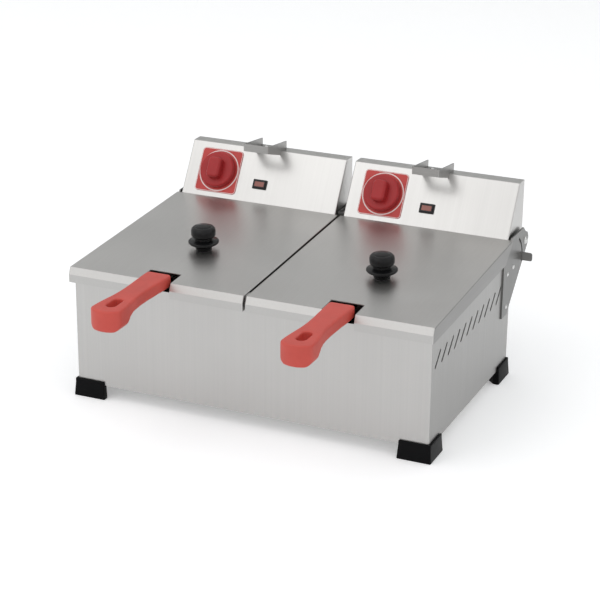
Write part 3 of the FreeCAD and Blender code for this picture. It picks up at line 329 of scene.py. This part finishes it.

# %% [markdown]
# Side faces of folded sheet are painted darker than the fronts: painted shade for the darker light on the
# sides. A face is told apart by its normal in object coordinates, which stays with the piece when a joint
# moves it. A slot per face would do too, but the solids' meshes are left as they are.

# %% Faces by direction
def facing(material, axis, start, full):
    """How nearly a face looks along one axis of its piece, from 0 to 1."""
    nodes, links = material.node_tree.nodes, material.node_tree.links
    place = nodes.new("ShaderNodeTexCoord")
    parts = nodes.new("ShaderNodeSeparateXYZ")
    either_way = nodes.new("ShaderNodeMath")
    either_way.operation = "ABSOLUTE"
    ranged = nodes.new("ShaderNodeMapRange")
    ranged.inputs["From Min"].default_value = start
    ranged.inputs["From Max"].default_value = full
    links.new(place.outputs["Normal"], parts.inputs["Vector"])
    links.new(parts.outputs[axis], either_way.inputs[0])
    links.new(either_way.outputs[0], ranged.inputs["Value"])
    return ranged.outputs["Result"]


def paint_shade_where(material, where, share):
    """Paint shade into the base colour: take it down where a value is 1."""
    nodes, links = material.node_tree.nodes, material.node_tree.links
    shader = nodes["Principled BSDF"]
    before = shader.inputs["Base Color"].links[0].from_socket
    mix = nodes.new("ShaderNodeMix")
    mix.data_type = "RGBA"
    mix.blend_type = "MULTIPLY"
    mix.inputs["B"].default_value = (share, share, share, 1)
    links.new(where, mix.inputs["Factor"])
    links.new(before, mix.inputs["A"])
    links.new(mix.outputs["Result"], shader.inputs["Base Color"])


print("face helpers: facing, duller")

# %% [markdown]
# ## Brushed stainless sheet
# Brushed stainless is a noise squeezed to thin lines along one direction. It moves the roughness and
# the bump a little. Broader streaks of the same grain and a slow cloud shift the colour, as handled
# sheet does. The grain runs the way that the sheet was rolled, so each piece names its own direction.

# %% Brushed sheet
STEEL = (0.545, 0.537, 0.525)
fine_lines = 1100.0
long_lines = 4.0
streak_share = 2.5
cloud_scale = 7.0
GRAINS = {"x": (long_lines, fine_lines, fine_lines), "y": (fine_lines, long_lines, fine_lines),
          "z": (fine_lines, fine_lines, long_lines), "slope": (fine_lines, long_lines, long_lines)}
line_detail = 2.0
streak_detail = 3.0
cloud_detail = 3.0
dark_share = 0.96
light_share = 1.03
grain_depth_mm = 0.02


def brushed_sheet(name, grain, share=1.0, roughness=0.34, swing=0.05):
    """Stainless sheet with a directional grain and slow cloudy variation."""
    colour = scaled(STEEL, share)
    material = blank_finish(name, colour, roughness, metallic=1.0)
    links = material.node_tree.links
    lines = noise_on(material, GRAINS[grain], line_detail)
    streaks = noise_on(material, [part / streak_share for part in GRAINS[grain]], streak_detail)
    mottle = blended(material, noise_on(material, (cloud_scale,) * 3, cloud_detail), streaks)
    tint(material, spread(material, mottle), scaled(colour, dark_share), scaled(colour, light_share))
    shader = material.node_tree.nodes["Principled BSDF"]
    links.new(spread(material, lines, roughness - swing, roughness + swing), shader.inputs["Roughness"])
    bump(material, lines, grain_depth_mm, swing)
    return material


casing_sheet = brushed_sheet("casing_sheet", grain="z", share=0.88)
lid_sheet = brushed_sheet("lid_sheet", grain="y", share=1.00, roughness=0.35, swing=0.02)
head_sheet = brushed_sheet("head_sheet", grain="slope", share=1.0, roughness=0.33)
strip_steel = brushed_sheet("strip_steel", grain="x", share=0.66, roughness=0.38)
pan_steel = brushed_sheet("pan_steel", grain="z", share=0.85, roughness=0.28)
# The hinge plates' sheet is taken down to 0.36 of the steel tone as painted shade, for the darker light on
# the side.
cheek_sheet_painted_shade = brushed_sheet("cheek_sheet_painted_shade", grain="z", share=0.36, roughness=0.36)
print("sheet finishes ready")

# %% [markdown]
# The casing's sides and the lids' side skirts are painted darker than their fronts: painted shade. The lids'
# front skirts get a little painted shade too, but not the slanting band above them, so their mask starts
# closer to upright.

# %% Painted shade on side faces, and lid waves
side_start = 0.6
side_full = 0.9
upright_start = 0.94
upright_full = 0.99
casing_side_painted_shade = 0.72
lid_side_painted_shade = 0.46
lid_front_painted_shade = 0.84
lid_wave_mm = 5.0
lid_waves_per_metre = 6.0

# Painted shade: the sides and the lids' front skirts are darkened by the direction they face.
paint_shade_where(casing_sheet, facing(casing_sheet, "X", side_start, side_full), casing_side_painted_shade)
paint_shade_where(lid_sheet, facing(lid_sheet, "X", side_start, side_full), lid_side_painted_shade)
paint_shade_where(lid_sheet, facing(lid_sheet, "Y", upright_start, upright_full), lid_front_painted_shade)
waves(lid_sheet, lid_wave_mm, lid_waves_per_metre)
print("side faces at", casing_side_painted_shade, "and", lid_side_painted_shade)

# %% [markdown]
# ## Moulded plastics
# Moulded plastic is matt where the mould was spark-eroded and glossy where it was polished. A tiny
# even noise gives the eroded skin, and a slow noise shifts the colour a little, because pigment is
# never quite even. The handles are a warm red, the dial knobs a deeper red, the lid knobs black.

# %% Moulded plastics, rubber and prints
skin_scale = 2200.0
skin_detail = 2.0
skin_swing = 0.05
skin_strength = 0.25
pigment_scale = 26.0
pigment_detail = 3.0
pale_pigment = 1.06
deep_pigment = 0.92


def moulded(name, colour, rough, skin_mm=0.03, shine=0.3):
    """Pigmented plastic with an eroded skin."""
    material = blank_finish(name, colour, rough)
    links = material.node_tree.links
    shader = material.node_tree.nodes["Principled BSDF"]
    skin = noise_on(material, (skin_scale,) * 3, skin_detail)
    pigment = noise_on(material, (pigment_scale,) * 3, pigment_detail)
    tint(material, spread(material, pigment), scaled(colour, deep_pigment), scaled(colour, pale_pigment))
    links.new(spread(material, skin, rough - skin_swing, rough + skin_swing), shader.inputs["Roughness"])
    bump(material, skin, skin_mm, skin_strength)
    shader.inputs["Specular IOR Level"].default_value = shine
    return material


grip_plastic = moulded("grip_plastic", (0.555, 0.068, 0.050), rough=0.46, skin_mm=0.02, shine=0.45)
dial_knob_plastic = moulded("dial_knob_plastic", (0.36, 0.020, 0.022), rough=0.40, skin_mm=0.02)
dial_plate_print = moulded("dial_plate_print", (0.515, 0.058, 0.052), rough=0.40, skin_mm=0.01)
white_print = moulded("white_print", (0.84, 0.70, 0.68), rough=0.45, skin_mm=0.01)
lid_knob_plastic = moulded("lid_knob_plastic", (0.006, 0.006, 0.0065), rough=0.30, skin_mm=0.01, shine=0.22)
bezel_plastic = moulded("bezel_plastic", (0.012, 0.012, 0.013), rough=0.38, skin_mm=0.01)
gland_plastic = moulded("gland_plastic", (0.016, 0.016, 0.017), rough=0.5)
switch_plastic = moulded("switch_plastic", (0.11, 0.075, 0.05), rough=0.5)
foot_rubber = moulded("foot_rubber", (0.0035, 0.0035, 0.004), rough=0.42, skin_mm=0.05, shine=0.07)
lamp_window = moulded("lamp_window", (0.27, 0.085, 0.065), rough=0.22, skin_mm=0.01, shine=0.5)
print("plastic finishes ready")

# %% [markdown]
# ## Wire, fasteners and heater
# Drawn wire and plated screws are smoother than sheet and have no grain, so one even noise between two
# close tones is enough. The heater tube has been hot: its oxide is browner, blotchy and slightly raised.

# %% Wire, fasteners and heater tube
raised_strength = 0.3


def mottled_metal(name, colour, rough, dark, light, per_metre, detail=3.0, raised_mm=0.0):
    """Bare metal with an even mottle, which may be raised a little."""
    material = blank_finish(name, colour, rough, metallic=1.0)
    mottle = noise_on(material, (per_metre,) * 3, detail)
    tint(material, spread(material, mottle), dark, light)
    if raised_mm:
        bump(material, mottle, raised_mm, raised_strength)
    return material


wire_steel = mottled_metal("wire_steel", (0.60, 0.60, 0.59), rough=0.27, dark=(0.50, 0.50, 0.49),
                           light=(0.66, 0.66, 0.65), per_metre=60.0)
fastener_steel = mottled_metal("fastener_steel", (0.62, 0.62, 0.61), rough=0.24, dark=(0.52, 0.52, 0.51),
                               light=(0.68, 0.68, 0.67), per_metre=400.0)
heater_tube = mottled_metal("heater_tube", (0.20, 0.18, 0.17), rough=0.45, dark=(0.13, 0.11, 0.10),
                            light=(0.30, 0.26, 0.23), per_metre=90.0, detail=5.0, raised_mm=0.05)
print("wire, heater and fastener finishes ready")

# %% [markdown]
# ## Dressing the solids
# A solid whose shape is already right only needs its finish. The table below goes from the piece's
# plain name to its finish, and the loop gives it to the left and the right copy alike.

# %% Give each solid its finish
FINISHES = {
    "body_shell": casing_sheet, "back_panel": casing_sheet, "base_plate": casing_sheet,
    "tank_deck": pan_steel, "tank": pan_steel, "hinge_plate": cheek_sheet_painted_shade,
    "hinge_bracket_center": strip_steel, "latch_lever": strip_steel, "hanger_bracket": strip_steel,
    "handle_tang": strip_steel, "head_shell": head_sheet, "head_back": head_sheet, "head_base": head_sheet,
    "foot_screws": fastener_steel, "pivot_screws": fastener_steel, "plate_rivets": fastener_steel,
    "latch_pins": fastener_steel, "hanger_rivets": fastener_steel, "element_glands": fastener_steel,
    "sensor_bulb": fastener_steel, "foot_front": foot_rubber, "foot_rear": foot_rubber,
    "dial_plate": dial_plate_print, "thermostat": switch_plastic, "thermostat_knob": dial_knob_plastic,
    "pilot_bezel": bezel_plastic, "pilot_lens": lamp_window, "heating_element": heater_tube,
    "cable_gland": gland_plastic, "basket_mesh": wire_steel, "basket_frame": wire_steel,
    "handle_grip": grip_plastic, "lid_panel": lid_sheet, "lid_knob": lid_knob_plastic,
}


def plain_name(node):
    """Node name without its side."""
    for side in SIDES:
        if node.endswith("_" + side):
            return node[:-len(side) - 1]
    return node


for node, solid in frame["nodes"].items():
    for place in solid.material_slots:
        place.material = FINISHES[plain_name(node)]
print("dressed", len(frame["nodes"]), "solids with", len(set(FINISHES.values())), "finishes")

# %% [markdown]
# ## Modelling once, then copying
# The fryer has a left and a right half, so the fine pieces are needed twice, and the feet four times.
# Building each one anew would cost time, and copies that share one mesh could not have their place in
# it, as a finished piece has. So a piece is modelled once at the origin, every copy gets a mesh of its
# own and is carried to its place, and the first one is thrown away.

# %% Copies and places
def select_alone(piece):
    """Make one piece the only one that operators act on."""
    bpy.ops.object.select_all(action="DESELECT")
    piece.select_set(True)
    bpy.context.view_layer.objects.active = piece


def own_copy(first, name):
    """Copy of a piece with a mesh of its own, selected alone."""
    twin = first.copy()
    twin.data = first.data.copy()
    twin.name = name
    bpy.context.scene.collection.objects.link(twin)
    select_alone(twin)
    return twin


def put(piece, place):
    """Carry a piece from the origin to its place, and keep the place in its mesh."""
    piece.matrix_world = place
    bpy.ops.object.transform_apply(location=True, rotation=True, scale=True)


def throw_away(first):
    """Remove a piece that copies were made from, with its mesh."""
    bpy.data.meshes.remove(first.data)


def box_corners(node):
    """Lower and upper corner of a solid, as vectors."""
    return [Vector(corner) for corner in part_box(node)]


print("copy helpers: select_alone, own_copy, put, throw_away, box_corners")

# %% [markdown]
# ## Woven baskets
# The solids hold a basket as five coarse grilles. The real one is fine welded wire. Hundreds of thin
# cylinders could be placed by hand, but a box without its lid, cut into small squares by subdividing
# one direction at a time, needs only the Wireframe modifier to turn each edge into a thin bar.

# %% Selecting in edit mode
nearly_straight = 0.99


def select_edges_along(mesh, axis):
    """Select the edges that run along one axis of the mesh in edit mode."""
    bpy.ops.mesh.select_all(action="DESELECT")
    bpy.ops.mesh.select_mode(type="EDGE")
    working = bmesh.from_edit_mesh(mesh)
    for edge in working.edges:
        run = edge.verts[1].co - edge.verts[0].co
        edge.select = abs(run[axis]) > nearly_straight * run.length
    bmesh.update_edit_mesh(mesh)


def select_faces(mesh, wanted):
    """Select the faces of a mesh in edit mode that a test of their middle and normal picks."""
    bpy.ops.mesh.select_all(action="DESELECT")
    bpy.ops.mesh.select_mode(type="FACE")
    working = bmesh.from_edit_mesh(mesh)
    for face in working.faces:
        face.select = wanted(face.calc_center_median(), face.normal)
    bmesh.update_edit_mesh(mesh)


print("edit helpers: select_edges_along, select_faces")

# %% Wire baskets
wire_pitch = 8.0 * MM
wire_thick = 1.3 * MM
wire_inset = 0.75 * MM


def weave_corners(node):
    """Corners of the box in which the wires' middle lines lie."""
    low, high = box_corners(node)
    low += Vector((wire_inset, wire_inset, wire_inset))
    high -= Vector((wire_inset, wire_inset, 0))
    return low, high


def woven_basket(size):
    """Open box of square wire mesh round the origin."""
    bpy.ops.object.select_all(action="DESELECT")
    bpy.ops.mesh.primitive_cube_add(size=1)
    basket = bpy.context.object
    basket.scale = size
    bpy.ops.object.transform_apply(location=True, rotation=True, scale=True)
    bpy.ops.object.mode_set(mode="EDIT")
    select_faces(basket.data, lambda middle, normal: normal.z > nearly_straight)
    bpy.ops.mesh.delete(type="ONLY_FACE")
    for axis in range(3):
        cuts = round(size[axis] / wire_pitch) - 1
        select_edges_along(basket.data, axis)
        bpy.ops.mesh.subdivide(number_cuts=cuts)
    bpy.ops.object.mode_set(mode="OBJECT")
    wires = basket.modifiers.new("wires", "WIREFRAME")
    wires.thickness = wire_thick
    wires.use_even_offset = False
    bpy.ops.object.modifier_apply(modifier=wires.name)
    basket.data.materials.append(wire_steel)
    return basket


low, high = weave_corners("basket_mesh_left")
first_basket = woven_basket(high - low)
print("one basket has", len(first_basket.data.polygons), "faces")

# %% Baskets for both tanks
for side in SIDES:
    node = "basket_mesh_" + side
    low, high = weave_corners(node)
    basket = own_copy(first_basket, "basket_weave_" + side)
    put(basket, Matrix.Translation((low + high) / 2))
    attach(basket, "basket_" + side)
    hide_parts(node)
    print(basket.name, "in place of", node)
throw_away(first_basket)

# %% [markdown]
# ## Printed dials
# Round each knob a pale ring is printed on the red plate, and a fine pale line runs round the plate's
# edge. Print has almost no thickness, so each mark is a flat outline, inset to a narrow band, whose
# middle is deleted. It lies a twentieth of a millimetre proud of the plate, so that the two surfaces
# never fight for the same place. The joint of the knob gives the plate's place and lean.

# %% Bands on a leaning panel
def band_from_face(width):
    """Turn the one selected face of an outline into a band of that width."""
    bpy.ops.mesh.inset(thickness=width, depth=0)
    bpy.ops.mesh.delete(type="ONLY_FACE")


def panel_normal(side):
    """Direction in which a head's panel looks."""
    return -Vector(joints["thermostat_turn_" + side]["axis"])


def on_panel(place, normal):
    """Where a flat piece goes from the origin to lie at a place on a leaning panel."""
    across = Vector((1, 0, 0))
    turn = Matrix((across, normal.cross(across), normal)).transposed().to_4x4()
    return Matrix.Translation(place) @ turn


print("panels look along", [round(part, 3) for part in panel_normal("left")])

# %% Dial prints
ring_radius = 30.4 * MM
ring_width = 1.6 * MM
ring_points = 128
border_half = 31.6 * MM
border_corner = 4.6 * MM
border_segments = 8
border_width = 0.7 * MM


def flat_ring():
    """Pale scale ring, flat at the origin."""
    bpy.ops.object.select_all(action="DESELECT")
    bpy.ops.mesh.primitive_circle_add(vertices=ring_points, radius=ring_radius, fill_type="NGON")
    bpy.ops.object.mode_set(mode="EDIT")
    bpy.ops.mesh.select_all(action="SELECT")
    band_from_face(ring_width)
    bpy.ops.object.mode_set(mode="OBJECT")
    return bpy.context.object


def flat_border():
    """Border line with round corners, flat at the origin."""
    bpy.ops.object.select_all(action="DESELECT")
    bpy.ops.mesh.primitive_plane_add(size=2 * border_half)
    bpy.ops.object.mode_set(mode="EDIT")
    bpy.ops.mesh.select_all(action="SELECT")
    bpy.ops.mesh.bevel(offset=border_corner, segments=border_segments, affect="VERTICES")
    bpy.ops.mesh.select_all(action="SELECT")
    band_from_face(border_width)
    bpy.ops.object.mode_set(mode="OBJECT")
    return bpy.context.object


first_print = flat_ring()
flat_border().select_set(True)
first_print.select_set(True)
bpy.context.view_layer.objects.active = first_print
bpy.ops.object.join()
first_print.data.materials.append(white_print)
print("one dial print has", len(first_print.data.polygons), "faces")

# %% Prints on both dial plates
plate_thick = 1.0 * MM
print_proud = 0.05 * MM

for side in SIDES:
    normal = panel_normal(side)
    pivot = Vector(joints["thermostat_turn_" + side]["pos_m"])
    ring = own_copy(first_print, "dial_print_" + side)
    put(ring, on_panel(pivot + normal * (plate_thick + print_proud), normal))
    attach(ring, "head_" + side)
    print(ring.name, "on", "head_" + side)
throw_away(first_print)

# %% [markdown]
# ## Lamp surrounds
# The pilot lamp is a moulded window behind a black snap-in frame, and the frame's inner lip hides the
# window's edge. The lip is a flat outline cut to a band, as the prints are, and Solidify then gives it
# a wall. A small bevel catches the light the way a moulded edge does.

# %% Lamp lips
lip_size = (17.4 * MM, 10.2 * MM)
lip_width = 1.5 * MM
lip_thick = 0.35 * MM
lip_edge = 0.12 * MM
lip_segments = 2


def lamp_lip():
    """Black lip for the edge of a pilot lamp's window, flat at the origin."""
    bpy.ops.object.select_all(action="DESELECT")
    bpy.ops.mesh.primitive_plane_add(size=1)
    lip = bpy.context.object
    lip.scale = (*lip_size, 1)
    bpy.ops.object.transform_apply(location=True, rotation=True, scale=True)
    bpy.ops.object.mode_set(mode="EDIT")
    bpy.ops.mesh.select_all(action="SELECT")
    band_from_face(lip_width)
    bpy.ops.object.mode_set(mode="OBJECT")
    lip_wall = lip.modifiers.new("wall", "SOLIDIFY")
    lip_wall.thickness = lip_thick
    lip_wall.offset = 1
    lip_bevel = lip.modifiers.new("edge", "BEVEL")
    lip_bevel.width = lip_edge
    lip_bevel.segments = lip_segments
    bpy.ops.object.modifier_apply(modifier=lip_wall.name)
    bpy.ops.object.modifier_apply(modifier=lip_bevel.name)
    lip.data.materials.append(bezel_plastic)
    return lip


first_lip = lamp_lip()
print("one lip has", len(first_lip.data.polygons), "faces")

# %% Lips on both lamps
def front_of(node, normal):
    """How far a solid reaches along a direction."""
    return max(normal.dot(corner.co) for corner in frame["nodes"][node].data.vertices)


for side in SIDES:
    lens = "pilot_lens_" + side
    normal = panel_normal(side)
    low, high = box_corners(lens)
    lens_middle = (low + high) / 2
    lens_front = lens_middle + normal * (front_of(lens, normal) - normal.dot(lens_middle))
    lip = own_copy(first_lip, "lamp_lip_" + side)
    put(lip, on_panel(lens_front, normal))
    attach(lip, "head_" + side)
    print(lip.name, "on", lens)
throw_away(first_lip)

# %% [markdown]
# ## Lid knobs
# A lid knob is a turned shape: a foot that opens out to a thin finger disc, a neck, and a cap like a
# low drum with a soft edge. Half its outline is drawn by extruding one point from step to step, and
# Spin carries the outline once round. Turned parts are always quickest this way. The knob stands
# square to the lid, which rises a little to the rear.

# %% Turned knobs
knob_steps = 72
knob_crease = math.radians(50)
seam = 0.01 * MM
knob_foot = ((0, 0), (10.5, 0), (11.0, 2.4), (13.2, 5.8), (16.8, 8.4))
knob_disc = ((19.5, 9.1), (20.6, 10.4), (20.5, 12.0), (19.2, 12.9), (13.4, 13.4))
knob_neck = ((11.6, 14.4), (11.5, 17.0), (13.2, 18.2), (15.4, 19.2))
knob_cap = ((16.4, 21.0), (16.5, 27.0), (16.0, 29.3), (14.4, 31.2), (11.6, 32.4))
knob_crown = ((11.0, 32.2), (10.4, 32.7), (6.0, 33.7), (0, 34.1))
knob_outline = knob_foot + knob_disc + knob_neck + knob_cap + knob_crown


def turned_knob():
    """Black knob spun from half its outline, upright at the origin."""
    bpy.ops.object.select_all(action="DESELECT")
    bpy.ops.mesh.primitive_plane_add(size=1)
    knob = bpy.context.object
    bpy.ops.object.mode_set(mode="EDIT")
    bpy.ops.mesh.select_mode(type="VERT")
    bpy.ops.mesh.select_all(action="SELECT")
    bpy.ops.mesh.merge(type="CENTER")
    for start, stop in zip(knob_outline, knob_outline[1:]):
        step = ((stop[0] - start[0]) * MM, 0, (stop[1] - start[1]) * MM)
        bpy.ops.mesh.extrude_region_move(TRANSFORM_OT_translate={"value": step})
    bpy.ops.mesh.select_all(action="SELECT")
    bpy.ops.mesh.spin(steps=knob_steps, angle=2 * math.pi, center=(0, 0, 0), axis=(0, 0, 1))
    bpy.ops.mesh.select_all(action="SELECT")
    bpy.ops.mesh.remove_doubles(threshold=seam)
    bpy.ops.mesh.normals_make_consistent(inside=False)
    bpy.ops.object.mode_set(mode="OBJECT")
    bpy.ops.object.shade_smooth_by_angle(angle=knob_crease)
    knob.data.materials.append(lid_knob_plastic)
    return knob


first_knob = turned_knob()
print("one knob has", len(first_knob.data.polygons), "faces")

# %% Knobs on both lids
knob_lean = math.radians(2.8)
knob_tall = 35.0 * MM
knob_disc_rise = 11.0 * MM


def knob_seat(node):
    """Where a knob's foot meets its lid."""
    low, high = box_corners(node)
    middle = (low + high) / 2
    return Vector((middle.x, middle.y + math.sin(knob_lean) * knob_disc_rise,
                   high.z - math.cos(knob_lean) * knob_tall))


for side in SIDES:
    node = "lid_knob_" + side
    knob = own_copy(first_knob, "lid_knob_turned_" + side)
    put(knob, Matrix.Translation(knob_seat(node)) @ Matrix.Rotation(knob_lean, 4, "X"))
    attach(knob, "lid_" + side)
    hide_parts(node)
    print(knob.name, "in place of", node)
throw_away(first_knob)

# %% [markdown]
# ## Corner feet
# Each foot is a moulded boot: a wedge under the corner, and two low walls that climb the casing. A
# square is cut across one corner and along the casing's two faces, pushed up to the casing's
# underside, and the two outer strips are pushed up a little more. The bottom is spread to give the
# flare, and a Bevel modifier rounds all the edges, as rubber has none that are sharp. The other corners
# get mirrored copies. A negative scale turns a shape inside out, so normals are then made outward again.

# %% One foot at the origin
foot_reach = 40.0 * MM
foot_out = 3.0 * MM
foot_flare = 1.5 * MM
foot_tall = 20.0 * MM
foot_climb = 5.0 * MM
foot_wall_end = 5.0 * MM
foot_round = 1.3 * MM
foot_segments = 3
foot_play = 0.15 * MM


def moulded_foot():
    """Rubber boot for the front left, with the casing's corner at the origin."""
    shift = (foot_reach - foot_out) / 2
    bpy.ops.object.select_all(action="DESELECT")
    bpy.ops.mesh.primitive_plane_add(size=foot_reach + foot_out)
    foot = bpy.context.object
    bpy.ops.object.mode_set(mode="EDIT")
    bpy.ops.mesh.select_all(action="SELECT")
    bpy.ops.transform.translate(value=(shift, shift, -foot_tall))
    bpy.ops.mesh.bisect(plane_co=(foot_reach, foot_wall_end, 0), plane_no=(1, 1, 0), clear_outer=True)
    for normal in ((1, 0, 0), (0, 1, 0)):
        bpy.ops.mesh.select_all(action="SELECT")
        bpy.ops.mesh.bisect(plane_co=(-foot_play, -foot_play, 0), plane_no=normal)
    bpy.ops.mesh.select_all(action="SELECT")
    bpy.ops.mesh.extrude_region_move(TRANSFORM_OT_translate={"value": (0, 0, foot_tall - foot_play)})
    select_faces(foot.data, lambda middle, normal: middle.z > -foot_tall / 4
                 and min(middle.x, middle.y) < -foot_play)
    bpy.ops.mesh.extrude_region_move(TRANSFORM_OT_translate={"value": (0, 0, foot_climb + foot_play)})
    bpy.ops.mesh.select_all(action="SELECT")
    bpy.ops.mesh.normals_make_consistent(inside=False)
    select_faces(foot.data, lambda middle, normal: middle.z < seam - foot_tall)
    flared = 1 + 2 * foot_flare / (foot_reach + foot_out)
    bpy.ops.transform.resize(value=(flared, flared, 1), center_override=(shift, shift, -foot_tall))
    bpy.ops.object.mode_set(mode="OBJECT")
    rounding = foot.modifiers.new("edge", "BEVEL")
    rounding.width = foot_round
    rounding.segments = foot_segments
    bpy.ops.object.modifier_apply(modifier=rounding.name)
    foot.data.materials.append(foot_rubber)
    return foot


first_foot = moulded_foot()
print("one foot has", len(first_foot.data.polygons), "faces")

# %% Feet at the four corners
foot_crease = math.radians(40)


def outward_again():
    """Point the faces of the selected piece outward, as mirroring turns them in."""
    bpy.ops.object.mode_set(mode="EDIT")
    bpy.ops.mesh.select_all(action="SELECT")
    bpy.ops.mesh.normals_make_consistent(inside=False)
    bpy.ops.object.mode_set(mode="OBJECT")


for row in ("front", "rear"):
    for side in SIDES:
        node = "foot_%s_%s" % (row, side)
        low, high = box_corners(node)
        across = 1 if side == "left" else -1
        along = 1 if row == "front" else -1
        corner = Vector((low.x if across > 0 else high.x, low.y if along > 0 else high.y, low.z + foot_tall))
        corner += Vector((across, along, 0)) * (foot_out + foot_flare)
        foot = own_copy(first_foot, "foot_boot_%s_%s" % (row, side))
        put(foot, Matrix.Translation(corner) @ Matrix.Diagonal((across, along, 1, 1)))
        outward_again()
        bpy.ops.object.shade_smooth_by_angle(angle=foot_crease)
        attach(foot, "chassis")
        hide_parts(node)
        print(foot.name, "in place of", node)
throw_away(first_foot)

# %% [markdown]
# ## Handles
# The handles are thick mouldings with no sharp edge anywhere. The solid has the right outline, so its
# skin is taken as a copy, merged, remeshed into small even cells, and smoothed until the edges turn
# soft. Bevelling each edge by hand would stumble over the curved flanks, while a remesh also joins the
# hole's edge into the same even skin.

# %% Moulded grips
grip_cell = 1.1 * MM
grip_passes = 9
grip_pull = 0.5


def soft_grip(side):
    """Handle with its edges melted the way a moulding has them."""
    node = "handle_grip_" + side
    solid = frame["nodes"][node]
    grip = bpy.data.objects.new("grip_moulding_" + side, solid.data.copy())
    grip.data.transform(solid.matrix_world)
    bpy.context.scene.collection.objects.link(grip)
    select_alone(grip)
    bpy.ops.object.mode_set(mode="EDIT")
    bpy.ops.mesh.select_all(action="SELECT")
    bpy.ops.mesh.remove_doubles(threshold=seam)
    bpy.ops.object.mode_set(mode="OBJECT")
    cells = grip.modifiers.new("cells", "REMESH")
    cells.mode = "VOXEL"
    cells.voxel_size = grip_cell
    soft = grip.modifiers.new("soft", "SMOOTH")
    soft.factor = grip_pull
    soft.iterations = grip_passes
    bpy.ops.object.modifier_apply(modifier=cells.name)
    bpy.ops.object.modifier_apply(modifier=soft.name)
    bpy.ops.object.shade_smooth()
    grip.data.materials.clear()
    grip.data.materials.append(grip_plastic)
    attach(grip, "basket_" + side)
    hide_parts(node)
    return grip


for side in SIDES:
    grip = soft_grip(side)
    print(grip.name, len(grip.data.polygons), "faces")
